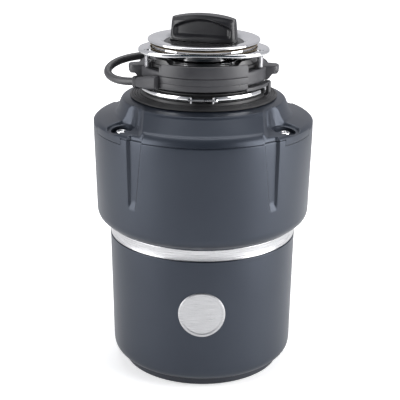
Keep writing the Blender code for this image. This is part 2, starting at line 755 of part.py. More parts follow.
def grind_chamber():
    foot = CHAMBER_FOOT_Z
    inner = CHAMBER_R - CHAMBER_WALL
    neck_in = NECK_R - CHAMBER_WALL
    chamber = turned(
        "grind_chamber",
        [
            (NECK_R, NECK_Z),
            (NECK_R, CHAMBER_TOP_Z + 36.0 * MM),
            (NECK_R + 4.0 * MM, CHAMBER_TOP_Z + 28.0 * MM),
            (CHAMBER_R, CHAMBER_TOP_Z),
            (CHAMBER_R, foot + CHAMBER_FLANGE_H + 3.0 * MM),
            (CHAMBER_FLANGE_R, foot + CHAMBER_FLANGE_H),
            (CHAMBER_FLANGE_R, foot),
            (inner, foot),
            (inner, CHAMBER_TOP_Z - 1.0 * MM),
            (neck_in + 3.0 * MM, CHAMBER_TOP_Z + 26.5 * MM),
            (neck_in, CHAMBER_TOP_Z + 33.0 * MM),
            (neck_in, NECK_Z),
        ],
        (BLACK, 0.5),
        SHELL_STEPS,
    )
    tube_r = OUTLET_BORE_R + OUTLET_WALL
    face = OUTLET_FACE_Y
    inlet_r = INLET_BORE_R + INLET_WALL
    join(
        chamber,
        rod("outlet_tube", tube_r, (0, inner + TUBE_ROOT, OUTLET_Z), (0, face - MM, OUTLET_Z), steps=20),
        rod(
            "outlet_rim",
            OUTLET_FLANGE_R,
            (0, face - OUTLET_FLANGE_H, OUTLET_Z),
            (0, face, OUTLET_Z),
            steps=20,
        ),
        rod(
            "inlet_tube",
            inlet_r,
            around(inner + TUBE_ROOT, INLET_DEG, INLET_Z),
            around(INLET_FACE_R, INLET_DEG, INLET_Z),
            steps=20,
        ),
    )
    cut(
        chamber,
        rod(
            "cut_outlet",
            OUTLET_BORE_R,
            (0, inner - 20.0 * MM, OUTLET_Z),
            (0, face + CUT_PAST, OUTLET_Z),
            steps=20,
        ),
        rod(
            "cut_inlet",
            INLET_BORE_R,
            around(inner - 20.0 * MM, INLET_DEG, INLET_Z),
            around(INLET_FACE_R + CUT_PAST, INLET_DEG, INLET_Z),
            steps=20,
        ),
    )
    seal_r = OUTLET_FLANGE_R - 0.6 * MM
    seal_wall = seal_r - OUTLET_BORE_R - 0.5 * MM
    seal = turned("discharge_seal", offset_ring(seal_r, seal_wall, 0.0, SEAL_H), (BLACK, 0.8))
    seal.location = (0.0, face + GAP, OUTLET_Z)
    seal.rotation_euler = (-math.pi / 2, 0.0, 0.0)
    rod(
        "dishwasher_inlet_plug",
        INLET_BORE_R - GAP,
        around(INLET_FACE_R - 9.0 * MM, INLET_DEG, INLET_Z),
        around(INLET_FACE_R - 1.5 * MM, INLET_DEG, INLET_Z),
        (GREY_PLASTIC, 0.5),
    )


def insulation():
    inner = CHAMBER_R + FOAM_WALL_GAP
    outer = UPPER_BOTTOM_R - UPPER_WALL - FOAM_WALL_GAP
    foam = turned(
        "sound_insulation",
        offset_ring(outer, outer - inner, LOWER_TOP_Z + 33.0 * MM, CHAMBER_TOP_Z - 6.0 * MM),
        ((0.75, 0.74, 0.7), 0.95),
    )
    far = UPPER_TOP_R + 4.0 * MM
    near = CHAMBER_R - 10.0 * MM
    cut(
        foam,
        rod(
            "cut_foam_outlet",
            OUTLET_FLANGE_R + 1.2 * MM,
            (0, near, OUTLET_Z),
            (0, far, OUTLET_Z),
            steps=20,
        ),
        rod(
            "cut_foam_inlet",
            INLET_BORE_R + INLET_WALL + 1.0 * MM,
            around(near, INLET_DEG, INLET_Z),
            around(far, INLET_DEG, INLET_Z),
            steps=20,
        ),
    )
    clear = FLUTE_WALL + 1.0 * MM
    flutes = enumerate(corner_degrees(FLUTE_DEG))
    cut(foam, *(flute(f"cut_foam_flute_{n}", degrees, clear) for n, degrees in flutes))


def shredder_ring():
    ring = turned(
        "shredder_ring",
        offset_ring(SHREDDER_R, SHREDDER_WALL, SHREDDER_Z, SHREDDER_Z + SHREDDER_H),
        (STEEL, 0.35, 1.0),
    )
    slots = []
    for number in range(SHREDDER_TEETH):
        degrees = 360.0 * (number + 0.5) / SHREDDER_TEETH
        spot = around(SHREDDER_R - SHREDDER_WALL, degrees, SHREDDER_Z + SHREDDER_H * 0.36)
        size = (7.0 * MM, 6.0 * MM, SHREDDER_H * 0.4)
        slots.append(block(f"cut_tooth_{number}", size, spot, turn_deg=degrees))
    cut(ring, *slots)


def turning_parts():
    """Everything that the motor turns: its shaft, core, turntable and nut."""
    top = TURNTABLE_Z + TURNTABLE_H + 12.0 * MM
    turned(
        "motor_shaft",
        [
            (0.0, top),
            (SHAFT_R - 1.0 * MM, top),
            (SHAFT_R, top - 1.0 * MM),
            (SHAFT_R, SHAFT_FOOT_Z + 1.0 * MM),
            (SHAFT_R - 1.0 * MM, SHAFT_FOOT_Z),
            (0.0, SHAFT_FOOT_Z),
        ],
        (STEEL, 0.25, 1.0),
        24,
        open_ends=True,
    )
    bore = SHAFT_R + GAP
    core_r = STATOR_BORE_R - ROTOR_GAP
    turned(
        "rotor_core",
        offset_ring(core_r, core_r - bore, STATOR_Z, STATOR_Z + STATOR_H),
        (CASTING, 0.5, 1.0),
        32,
    )
    hub_r = 14.0 * MM
    table = turned(
        "turntable",
        [
            (hub_r, TURNTABLE_Z + TURNTABLE_H + 2.0 * MM),
            (hub_r + 3.0 * MM, TURNTABLE_Z + TURNTABLE_H),
            (TURNTABLE_R, TURNTABLE_Z + TURNTABLE_H),
            (TURNTABLE_R, TURNTABLE_Z),
            (bore, TURNTABLE_Z),
            (bore, TURNTABLE_Z + TURNTABLE_H + 2.0 * MM),
        ],
        (STEEL, 0.35, 1.0),
    )
    holes = []
    for number in range(6):
        spot = around(LUG_ORBIT_R + 12.0 * MM, 30.0 + 60.0 * number)
        low = top_of(spot, TURNTABLE_Z - CUT_PAST)
        high = top_of(spot, TURNTABLE_Z + TURNTABLE_H + CUT_PAST)
        holes.append(rod(f"cut_drain_{number}", DRAIN_HOLE_R, low, high))
    cut(table, *holes)
    head_low = TURNTABLE_Z + TURNTABLE_H + RUNNING_GAP + LUG_H + RUNNING_GAP
    for number in range(2):
        pin_at = around(LUG_ORBIT_R, 90.0 + 180.0 * number)
        pin = turned(
            f"lug_pin_{number + 1}",
            [
                (0.0, head_low + 2.2 * MM),
                (LUG_PIN_R + 1.4 * MM, head_low + 2.2 * MM),
                (LUG_PIN_R + 2.4 * MM, head_low + 1.2 * MM),
                (LUG_PIN_R + 2.4 * MM, head_low),
                (LUG_PIN_R, head_low),
                (LUG_PIN_R, TURNTABLE_Z + TURNTABLE_H / 2),
                (0.0, TURNTABLE_Z + TURNTABLE_H / 2),
            ],
            None,
            16,
            open_ends=True,
        )
        pin.location = (pin_at.x, pin_at.y, 0.0)
        join(table, pin)
    nut_low = TURNTABLE_Z + TURNTABLE_H + 2.0 * MM + GAP
    nut_high = nut_low + NUT_H
    nut = rod("shaft_nut", NUT_R, (0, 0, nut_low), (0, 0, nut_high), (STEEL, 0.3, 1.0), 6)
    cut(nut, rod("cut_nut", bore, (0, 0, nut_low - CUT_PAST), (0, 0, nut_high + CUT_PAST), steps=20))


def swivel_lugs():
    """Two swinging lugs on the turntable, each on its own riveted pin."""
    low = TURNTABLE_Z + TURNTABLE_H + RUNNING_GAP
    for number in range(2):
        degrees = 90.0 + 180.0 * number
        pin_at = around(LUG_ORBIT_R, degrees)
        half = LUG_L / 2
        waist = LUG_W / 2
        outline = [
            (-half + 2.0 * MM, -waist),
            (half - 7.0 * MM, -waist),
            (half, -waist * 0.3),
            (half, waist * 0.5),
            (half - 5.0 * MM, waist),
            (-half + 4.0 * MM, waist),
            (-half, waist * 0.4),
            (-half, -waist * 0.6),
        ]
        lug = plate(f"swivel_lug_{number + 1}", outline, low, low + LUG_H, (STEEL, 0.35, 1.0))
        lug.location = (pin_at.x, pin_at.y, 0.0)
        lug.rotation_euler = (0.0, 0.0, math.radians(90.0 + 180.0 * number))
        bore = rod(
            f"cut_lug_{number}",
            LUG_PIN_R + RUNNING_GAP,
            top_of(pin_at, low - CUT_PAST),
            top_of(pin_at, low + LUG_H + CUT_PAST),
            steps=16,
        )
        cut(lug, bore)


# ---------------------------------------------------------------- motor


def through_bolt_spots():
    return [around(THROUGH_BOLT_ORBIT_R, 45.0 + 180.0 * number) for number in range(2)]


def end_bells():
    bore = BEARING_R + GAP
    foot = BELL_Z
    lower = turned(
        "lower_end_bell",
        [
            (BELL_R, foot + 15.0 * MM),
            (BELL_R, foot),
            (bore - 3.0 * MM, foot),
            (bore - 3.0 * MM, foot + 2.0 * MM),
            (bore, foot + 2.0 * MM),
            (bore, foot + 12.0 * MM),
            (bore + 4.0 * MM, foot + 12.0 * MM),
            (bore + 4.0 * MM, foot + BELL_PLATE),
            (BELL_R - 3.0 * MM, foot + BELL_PLATE),
            (BELL_R - 3.0 * MM, foot + 15.0 * MM),
        ],
        (CASTING, 0.55, 1.0),
    )
    low = UPPER_BELL_Z
    upper = turned(
        "upper_end_bell",
        [
            (UPPER_BELL_R, low + 17.0 * MM),
            (UPPER_BELL_R, low),
            (bore + 4.0 * MM, low),
            (bore + 4.0 * MM, low - 6.0 * MM),
            (bore - 3.0 * MM, low - 6.0 * MM),
            (bore - 3.0 * MM, low - 4.0 * MM),
            (bore, low - 4.0 * MM),
            (bore, low + 20.0 * MM),
            (bore + 5.0 * MM, low + 18.0 * MM),
            (bore + 12.0 * MM, low + BELL_PLATE),
            (UPPER_BELL_R - 4.0 * MM, low + BELL_PLATE),
            (UPPER_BELL_R - 4.0 * MM, low + 17.0 * MM),
        ],
        (CASTING, 0.5, 1.0),
    )
    for bell, name, z in ((lower, "lower", foot), (upper, "upper", low)):
        for number, spot in enumerate(through_bolt_spots()):
            start, end = top_of(spot, z - CUT_PAST), top_of(spot, z + BELL_PLATE + CUT_PAST)
            cut(bell, rod(f"cut_{name}_bolt_{number}", THROUGH_BOLT_R + GAP, start, end))
    wall = BEARING_R - SHAFT_R - GAP
    for name, z in (("lower_bearing", foot + 2.0 * MM + GAP), ("upper_bearing", low - 4.0 * MM + GAP)):
        turned(name, offset_ring(BEARING_R, wall, z, z + BEARING_H), (STEEL, 0.25, 1.0), 24)
    seal_z = low - 4.0 * MM + BEARING_H + 2 * GAP
    turned("shaft_seal", offset_ring(BEARING_R, wall, seal_z, seal_z + 6.0 * MM), (BLACK, 0.8), 24)


def through_bolts():
    for number, spot in enumerate(through_bolt_spots()):
        foot = BELL_Z - GAP
        bolt = turned(
            f"through_bolt_{number + 1}",
            [
                (0.0, UPPER_BELL_Z + BELL_PLATE + 4.0 * MM),
                (THROUGH_BOLT_R, UPPER_BELL_Z + BELL_PLATE + 4.0 * MM),
                (THROUGH_BOLT_R, foot),
                (THROUGH_BOLT_R + 2.0 * MM, foot),
                (THROUGH_BOLT_R + 2.0 * MM, foot - 3.5 * MM),
                (0.0, foot - 3.5 * MM),
            ],
            (STEEL, 0.3, 1.0),
            12,
            open_ends=True,
        )
        bolt.location = (spot.x, spot.y, 0.0)


def stator():
    turned(
        "stator_core",
        offset_ring(STATOR_R, STATOR_R - STATOR_BORE_R, STATOR_Z, STATOR_Z + STATOR_H),
        (CASTING, 0.6, 1.0),
    )
    copper = ((0.45, 0.17, 0.06), 0.4, 0.8)
    lows = (("lower_windings", STATOR_Z - GAP - WINDING_H), ("upper_windings", STATOR_Z + STATOR_H + GAP))
    for name, low in lows:
        high = low + WINDING_H
        soft = 4.0 * MM
        turned(
            name,
            [
                (WINDING_OUTER_R - soft, high),
                (WINDING_OUTER_R, high - soft),
                (WINDING_OUTER_R, low + soft),
                (WINDING_OUTER_R - soft, low),
                (WINDING_INNER_R + soft, low),
                (WINDING_INNER_R, low + soft),
                (WINDING_INNER_R, high - soft),
                (WINDING_INNER_R + soft, high),
            ],
            copper,
            20,
        )


def electrical_parts():
    foot = STATOR_Z - 6.0 * MM
    spot = around(CAPACITOR_ORBIT_R, 180.0)
    rod(
        "capacitor",
        CAPACITOR_R,
        top_of(spot, foot),
        top_of(spot, foot + CAPACITOR_H),
        ((0.03, 0.03, 0.035), 0.4),
        16,
    )
    shelf = BASE_FLOOR + 3.6 * MM
    protector = block(
        "overload_protector",
        (24.0 * MM, 24.0 * MM, BELL_Z - 2.0 * MM - shelf),
        (RESET_X, RESET_Y, (BELL_Z - 2.0 * MM + shelf) / 2),
        (BLACK, 0.5),
        bevel=1.0 * MM,
    )
    stem_r = RESET_R * 0.55
    reset = (RESET_X, RESET_Y)
    well = rod(
        "cut_reset_well",
        stem_r + RUNNING_GAP,
        (*reset, shelf - CUT_PAST),
        (*reset, shelf + 6.5 * MM),
    )
    cut(protector, well)
    low = 0.8 * MM
    button = turned(
        "reset_button",
        [
            (0.0, shelf + 3.2 * MM),
            (stem_r, shelf + 3.2 * MM),
            (stem_r, low + 2.4 * MM),
            (RESET_R, low + 2.4 * MM),
            (RESET_R, low + 0.5 * MM),
            (RESET_R - 0.5 * MM, low),
            (0.0, low),
        ],
        ((0.6, 0.02, 0.02), 0.4),
        16,
        open_ends=True,
    )
    button.location = (*reset, 0.0)


def wiring_parts():
    """The cover of the wiring opening, and the bushing of the supply's way in."""
    centre_x = WIRING_W / 4
    cover_low = BASE_FLOOR + GAP
    block(
        "wiring_cover",
        (WIRING_W, WIRING_D, 1.6 * MM),
        (centre_x, WIRING_Y, cover_low + 0.8 * MM),
        (STEEL, 0.4, 1.0),
        bevel=0.3 * MM,
    )
    bushing = turned(
        "wire_bushing",
        [
            (BUSHING_R, BASE_FLOOR + GAP + 3.0 * MM),
            (BUSHING_R, BASE_FLOOR + GAP),
            (BUSHING_R - BUSHING_LIP - RUNNING_GAP, BASE_FLOOR + GAP),
            (BUSHING_R - BUSHING_LIP - RUNNING_GAP, 0.6 * MM),
            (BUSHING_R - 4.5 * MM, 0.6 * MM),
            (BUSHING_R - 4.5 * MM, BASE_FLOOR + GAP + 3.0 * MM),
        ],
        (BLACK, 0.6),
        16,
    )
    bushing.location = (BUSHING_X, WIRING_Y, 0.0)


# ---------------------------------------------------------------- sink mounting


def mounting_gasket():
    """The rubber collar over the neck: ribbed foot, groove for the clamp, and a lip under the flange."""
    seam = UPPER_TOP_Z + GAP
    foot_z = seam + PLATEAU_RISE + 2.9 * MM
    bore = NECK_R + GAP
    profile = [
        (GASKET_LIP_R, GASKET_TOP_Z),
        (GASKET_LIP_R, GASKET_TOP_Z - 3.6 * MM),
        (GASKET_WAIST_R, GASKET_TOP_Z - 4.2 * MM),
        (GASKET_WAIST_R, CLAMP_Z + CLAMP_H + 1.6 * MM),
        (GASKET_R, CLAMP_Z + CLAMP_H + 0.4 * MM),
        (CLAMP_R - 2 * GAP, CLAMP_Z + CLAMP_H + 0.4 * MM),
        (CLAMP_R - 2 * GAP, CLAMP_Z - 0.4 * MM),
        (GASKET_R + 1.0 * MM, CLAMP_Z - 0.4 * MM),
        (GASKET_R + 3.4 * MM, foot_z + 2.6 * MM),
        (GASKET_FOOT_R, foot_z + 1.2 * MM),
        (GASKET_FOOT_R, foot_z),
        (bore, foot_z),
        (bore, NECK_Z + GAP),
        (GASKET_THROAT_R, NECK_Z + GAP + 3.0 * MM),
        (GASKET_THROAT_R, GASKET_TOP_Z),
    ]
    turned("mounting_gasket", profile, (BLACK, 0.65), SHELL_STEPS)


def band_clamp():
    low, high = CLAMP_Z, CLAMP_Z + CLAMP_H
    outer = CLAMP_R + CLAMP_DEPTH
    rolled = [
        (outer - 1.2 * MM, high),
        (outer, high - 1.6 * MM),
        (outer, low + 1.6 * MM),
        (outer - 1.2 * MM, low),
        (CLAMP_R, low),
        (CLAMP_R, high),
    ]
    start, end = CLAMP_GAP_DEG * 0.8, 360.0 - CLAMP_GAP_DEG
    sector("band_clamp", rolled, start, end, (STEEL, 0.12, 1.0), 36)
    middle_z = (low + high) / 2
    left, right = (around(outer + 3.0 * MM, degrees, middle_z) for degrees in CLAMP_BOLT_DEGS)
    bolt = rod("clamp_bolt", CLAMP_BOLT_R, left, right, (STEEL, 0.2, 1.0), 10)
    along = (right - left).normalized()
    head = rod("clamp_bolt_head", CLAMP_HEAD_R, right - along * MM, right + along * 3.4 * MM, steps=10)
    join(bolt, head)


def ring_edge():
    """Outer radius of the turning ring, inside the switch housing."""
    return HOUSING_R - HOUSING_WALL - 1.5 * MM - RUNNING_GAP


def lower_mounting_ring():
    outer = ring_edge()
    low, high = RING_Z, RING_Z + RING_H
    bore = GASKET_WAIST_R + RUNNING_GAP
    ring = turned(
        "lower_mounting_ring",
        [
            (outer - 1.0 * MM, high),
            (outer, high - 1.0 * MM),
            (outer, low),
            (outer - RING_WALL, low),
            (outer - RING_WALL, high - 3.0 * MM),
            (bore, high - 3.0 * MM),
            (bore, high),
        ],
        (GREY_PLASTIC, SHELL_GLOSS),
        SHELL_STEPS,
    )
    ears = []
    for number, degrees in enumerate(EAR_DEGS):
        reach = EAR_REACH - EAR_W / 2
        tip = around(reach, degrees)
        low_z, high_z = EAR_Z, EAR_Z + EAR_H
        ears.append(rod(f"ear_round_{number}", EAR_W / 2, top_of(tip, low_z), top_of(tip, high_z), steps=20))
        depth = reach - outer + 3.0 * MM
        middle = around(reach - depth / 2, degrees, (low_z + high_z) / 2)
        size = (EAR_W - 0.6 * MM, depth, EAR_H - 0.6 * MM)
        ears.append(block(f"ear_root_{number}", size, middle, turn_deg=degrees))
    join(ring, *ears)


def lock_ramps():
    """The black ramps that the flange's ring rides up on, one by each ear."""
    outer = GASKET_LIP_R
    low = GASKET_TOP_Z + RUNNING_GAP
    made = turned(
        "lock_ramp_ring",
        offset_ring(outer, outer - THROAT_R - 5.0 * MM, low, low + 1.6 * MM),
        (BLACK, 0.5),
    )
    ramps = []
    for number, degrees in enumerate(RAMP_DEGS):
        base = [
            (outer - 0.4 * MM, low + 5.4 * MM),
            (outer - 0.4 * MM, low + 0.5 * MM),
            (outer - 9.0 * MM, low + 0.5 * MM),
            (outer - 9.0 * MM, low + 5.4 * MM),
        ]
        start, end = degrees - RAMP_HALF_DEG, degrees + RAMP_HALF_DEG
        ramps.append(sector(f"ramp_{number}", base, start, end, steps=6))
    join(made, *ramps)


def switch_bracket():
    """The fixed bracket under the ring: front shelf, housing wall, and right arm with its hook."""
    outer = HOUSING_R
    inner = outer - HOUSING_WALL
    low = HOUSING_FOOT_Z
    half = HOUSING_HALF_DEG
    shelf = RING_Z - RUNNING_GAP
    housing = [
        (outer - 0.8 * MM, HOUSING_TOP_Z),
        (outer, HOUSING_TOP_Z - 1.0 * MM),
        (outer, low + HOUSING_COVER_H),
        (inner, low + HOUSING_COVER_H),
        (inner, HOUSING_TOP_Z),
    ]
    sector("switch_housing", housing, -half, half, (GREY_PLASTIC, SHELL_GLOSS), 24)
    cover = [
        (outer, low + HOUSING_COVER_H - GAP),
        (outer - 0.4 * MM, low + HOUSING_COVER_H * 0.5),
        (outer - 0.4 * MM, low + 1.0 * MM),
        (outer - 1.4 * MM, low),
        (GASKET_R + 2.0 * MM, low),
        (GASKET_R + 2.0 * MM, shelf - 0.6 * MM),
        (inner - 0.6 * MM, shelf - 0.6 * MM),
        (inner - 0.6 * MM, low + HOUSING_COVER_H - GAP),
    ]
    bracket = sector("switch_bracket", cover, -half, half, (GREY_PLASTIC, SHELL_GLOSS), 24)
    arm_inner = GASKET_R + 2.0 * MM
    arm = [
        (outer - 0.6 * MM, shelf - 0.6 * MM),
        (outer - 0.6 * MM, ARM_Z),
        (arm_inner, ARM_Z),
        (arm_inner, shelf - 0.6 * MM),
    ]
    right = sector("bracket_arm", arm, half - 1.5, ARM_END_DEG, steps=12)
    hook_outer = outer - 0.6 * MM
    hook_profile = [
        (hook_outer + 1.2 * MM, ARM_Z + 2.0 * MM),
        (hook_outer + 1.2 * MM, CLAMP_Z - 1.0 * MM),
        (hook_outer - 3.4 * MM, CLAMP_Z - 1.6 * MM),
        (hook_outer - 4.6 * MM, CLAMP_Z - 1.0 * MM),
        (hook_outer - 2.4 * MM, CLAMP_Z + 0.6 * MM),
        (hook_outer - 2.4 * MM, ARM_Z + 2.0 * MM),
    ]
    hook = sector("arm_hook", hook_profile, ARM_END_DEG - 7.0, ARM_END_DEG + 1.0, steps=3)
    join(bracket, right, hook)
    sensor = [
        (inner - GAP, HOUSING_TOP_Z - 1.5 * MM),
        (inner - GAP, RING_Z + RING_H + 1.0 * MM),
        (inner - 4.5 * MM, RING_Z + RING_H + 1.0 * MM),
        (inner - 4.5 * MM, HOUSING_TOP_Z - 1.5 * MM),
    ]
    sector("cover_sensor", sensor, -SENSOR_HALF_DEG, SENSOR_HALF_DEG, (BLACK, 0.5), 6)


def cable_boot():
    """The tapered cover that the cable leaves by. It bends round the ring, and ends in two collar ribs."""
    mesh = bpy.data.meshes.new("cable_boot")
    solid = bmesh.new()
    end = cable_route()[0]
    end_deg = math.degrees(math.atan2(end.x, -end.y))
    start_deg = -HOUSING_HALF_DEG - 0.4
    start_z = (HOUSING_FOOT_Z + HOUSING_TOP_Z) / 2 - 6.0 * MM
    radius = Vector((end.x, end.y)).length
    levels = (
        (0.0, 4.0, 6.4),
        (0.33, 4.0, 6.4),
        (0.66, 4.0, 5.4),
        (0.74, 4.6, 5.0),
        (0.75, 5.0, 6.6),
        (0.80, 5.0, 6.6),
        (0.81, 4.2, 4.8),
        (0.86, 4.2, 4.8),
        (0.87, 5.0, 6.2),
        (0.92, 5.0, 6.2),
    )
    sides = 12
    rings = []
    for share, half_wide, half_high in levels:
        degrees = start_deg + (end_deg - start_deg) * share
        middle = around(radius, degrees, start_z + (end.z - start_z) * share)
        side = around(1.0, degrees)
        ring = []
        for i in range(sides):
            turn = 2 * math.pi * (i + 0.5) / sides
            boxy = MM / max(abs(math.cos(turn)), abs(math.sin(turn))) ** 0.6
            up = Vector((0, 0, half_high * boxy * math.sin(turn)))
            ring.append(solid.verts.new(middle + side * half_wide * boxy * math.cos(turn) + up))
        rings.append(ring)
    for here, there in zip(rings, rings[1:]):
        for i in range(sides):
            k = (i + 1) % sides
            solid.faces.new((here[i], here[k], there[k], there[i]))
    solid.faces.new(rings[0])
    solid.faces.new(rings[-1])
    bmesh.ops.recalc_face_normals(solid, faces=solid.faces[:])
    solid.to_mesh(mesh)
    solid.free()
    add("cable_boot", mesh, (GREY_PLASTIC, SHELL_GLOSS))


def cable_route():
    return [Vector((x, y, z)) * MM + Vector((0.0, 0.0, NECK_Z)) for x, y, z in CABLE_POINTS]


def switch_cable():
    curve = bpy.data.curves.new("switch_cable", "CURVE")
    curve.dimensions = "3D"
    points = smooth_route(cable_route(), 3)
    spline = curve.splines.new("POLY")
    spline.points.add(len(points) - 1)
    for point, place in zip(spline.points, points):
        point.co = (*place, 1.0)
    curve.bevel_depth = CABLE_R
    curve.bevel_resolution = 2
    curve.use_fill_caps = True
    made = bpy.data.objects.new("switch_cable", curve)
    collections["garbage_disposal"].objects.link(made)
    curve.materials.append(material("switch_cable", (0.09, 0.09, 0.095), 0.5))
    return points[-1], (points[-1] - points[-2]).normalized()


def smooth_route(points, parts):
    """Points along a Catmull-Rom curve through the route."""
    ends = [2 * points[0] - points[1], *points, 2 * points[-1] - points[-2]]
    route = []
    for a, b, c, d in zip(ends, ends[1:], ends[2:], ends[3:]):
        for i in range(parts):
            t = i / parts
            bend = (2 * a - 5 * b + 4 * c - d) * t * t
            route.append(0.5 * (2 * b + (c - a) * t + bend + (3 * b - a - 3 * c + d) * t * t * t))
    route.append(points[-1])
    return route


def cable_gland(cover, cable_end, along):
    """The rubber gland that takes the cable through the top cover."""
    top = cable_end + along * GAP
    neck = top + along * GLAND_H
    foot = neck + along * GLAND_SHANK_H
    gland = rod("cable_gland", GLAND_R, neck, top, (BLACK, 0.6), 16, tip_radius=GLAND_R * 0.75)
    join(gland, rod("gland_shank", GLAND_SHANK_R, foot, neck - along * MM, steps=16))
    cut(
        cover,
        rod("cut_gland", GLAND_SHANK_R + GAP, foot + along * CUT_PAST, neck, steps=16),
        rod("cut_gland_seat", GLAND_R + GAP, neck, top - along * CUT_PAST, steps=16),
    )


# ---------------------------------------------------------------- flange and stopper


def corner_outline(shrink=0.0, per_corner=14):
    """The hull of three equal circles: a triangle with large round corners, one flat to the front."""
    outline = []
    for degrees in (60.0, 180.0, 300.0):
        centre = around(CORNER_ORBIT_R, degrees)
        for i in range(per_corner + 1):
            turn = degrees - 60.0 + 120.0 * i / per_corner
            spot = centre + around(CORNER_R - shrink, turn)
            outline.append((spot.x, spot.y))
    return outline


def sink_flange():
    under = FLANGE_TOP_Z - FLANGE_LIP
    inner = THROAT_R - THROAT_WALL
    turned(
        "sink_flange",
        [
            (FLANGE_R - 1.6 * MM, FLANGE_TOP_Z),
            (FLANGE_R, FLANGE_TOP_Z - 1.4 * MM),
            (FLANGE_R, under),
            (THROAT_R + 3.6 * MM, under),
            (THROAT_R, under - 3.4 * MM),
            (THROAT_R, THROAT_FOOT_Z),
            (inner, THROAT_FOOT_Z),
            (inner, under - 4.0 * MM),
            (FLANGE_BORE_R - 0.4 * MM, under),
            (FLANGE_BORE_R + 3.6 * MM, FLANGE_TOP_Z - 0.4 * MM),
        ],
        (STEEL, 0.12, 1.0),
        SHELL_STEPS,
    )
    fibre_low = under - SINK_GAP - FIBRE_H
    backup_low = fibre_low - GAP - BACKUP_H
    bore = THROAT_R + 4.2 * MM
    fibre = offset_ring(FIBRE_R, FIBRE_R - bore, fibre_low, fibre_low + FIBRE_H)
    turned("fibre_gasket", fibre, ((0.2, 0.16, 0.11), 0.8))
    backup = offset_ring(BACKUP_R, BACKUP_R - bore, backup_low, backup_low + BACKUP_H)
    turned("backup_flange", backup, (STEEL, 0.2, 1.0))
    return backup_low


def upper_mounting_ring(top):
    """The pressed ring that carries the three mounting screws."""
    foot = top - CLAMP_RING_DROP
    ring = plate("upper_mounting_ring", corner_outline(), foot, top, (STEEL, 0.12, 1.0))
    below, above = foot - CUT_PAST, top + CUT_PAST
    holes = [
        plate("cut_ring_hollow", corner_outline(CLAMP_RING_WALL), below, top - CLAMP_RING_WALL),
        rod("cut_ring_bore", THROAT_R + 2.6 * MM, (0, 0, below), (0, 0, above), steps=PIECE_STEPS),
    ]
    for number, degrees in enumerate(SCREW_DEGS):
        spot = around(SCREW_ORBIT_R, degrees)
        start, end = top_of(spot, below), top_of(spot, above)
        holes.append(rod(f"cut_screw_{number}", SCREW_R + GAP, start, end, steps=16))
    cut(ring, *holes)
    for number, degrees in enumerate(SCREW_DEGS):
        spot = around(SCREW_ORBIT_R, degrees)
        rod(
            f"mounting_screw_{number + 1}",
            SCREW_R,
            top_of(spot, SCREW_FOOT_Z),
            top_of(spot, top - 0.2 * MM),
            (STEEL, 0.25, 1.0),
            16,
        )
    snap_high = foot - 1.0 * MM
    turned(
        "snap_ring",
        offset_ring(THROAT_R + 3.4 * MM, 2.6 * MM, snap_high - 2.0 * MM, snap_high),
        (STEEL, 0.2, 1.0),
    )


def stopper():
    """Grip, disc, skirt, seal and magnet of the lift-out stopper that also starts the motor."""
    top = STOPPER_DISC_TOP_Z
    under = top - STOPPER_DISC_H
    skirt_low = under - GAP - STOPPER_SKIRT_H
    turned(
        "stopper_disc",
        [
            (0.0, top),
            (STOPPER_R - 6.0 * MM, top),
            (STOPPER_R - 5.0 * MM, top - 0.8 * MM),
            (STOPPER_R, top - 0.8 * MM),
            (STOPPER_R - 2.9 * MM, under),
            (0.0, under),
        ],
        (BLACK, 0.4),
        PIECE_STEPS,
        open_ends=True,
    )
    wall = 2.2 * MM
    turned(
        "stopper_skirt",
        [
            (STOPPER_SKIRT_R, under - GAP),
            (STOPPER_SKIRT_R, under - GAP - 4.0 * MM),
            (STOPPER_SKIRT_R - 1.8 * MM, under - GAP - 4.0 * MM),
            (STOPPER_SKIRT_R - 1.8 * MM, under - GAP - 7.0 * MM),
            (STOPPER_SKIRT_R, under - GAP - 7.0 * MM),
            (STOPPER_SKIRT_R, skirt_low),
            (STOPPER_SKIRT_R - wall - 1.8 * MM, skirt_low),
            (STOPPER_SKIRT_R - wall - 1.8 * MM, under - GAP),
        ],
        (BLACK, 0.5),
    )
    turned(
        "stopper_seal",
        [
            (STOPPER_SKIRT_R + 0.6 * MM, under - GAP - 4.3 * MM),
            (STOPPER_SKIRT_R + 0.6 * MM, under - GAP - 6.7 * MM),
            (STOPPER_SKIRT_R - 1.5 * MM, under - GAP - 6.7 * MM),
            (STOPPER_SKIRT_R - 1.5 * MM, under - GAP - 4.3 * MM),
        ],
        (BLACK, 0.8),
    )
    spot = around(MAGNET_ORBIT_R, GRIP_TURN_DEG)
    low_z, high_z = under - GAP - 6.0 * MM, under - GAP
    rod("stopper_magnet", MAGNET_R, top_of(spot, low_z), top_of(spot, high_z), (STEEL, 0.3, 1.0), 16)
    stopper_grip(top)


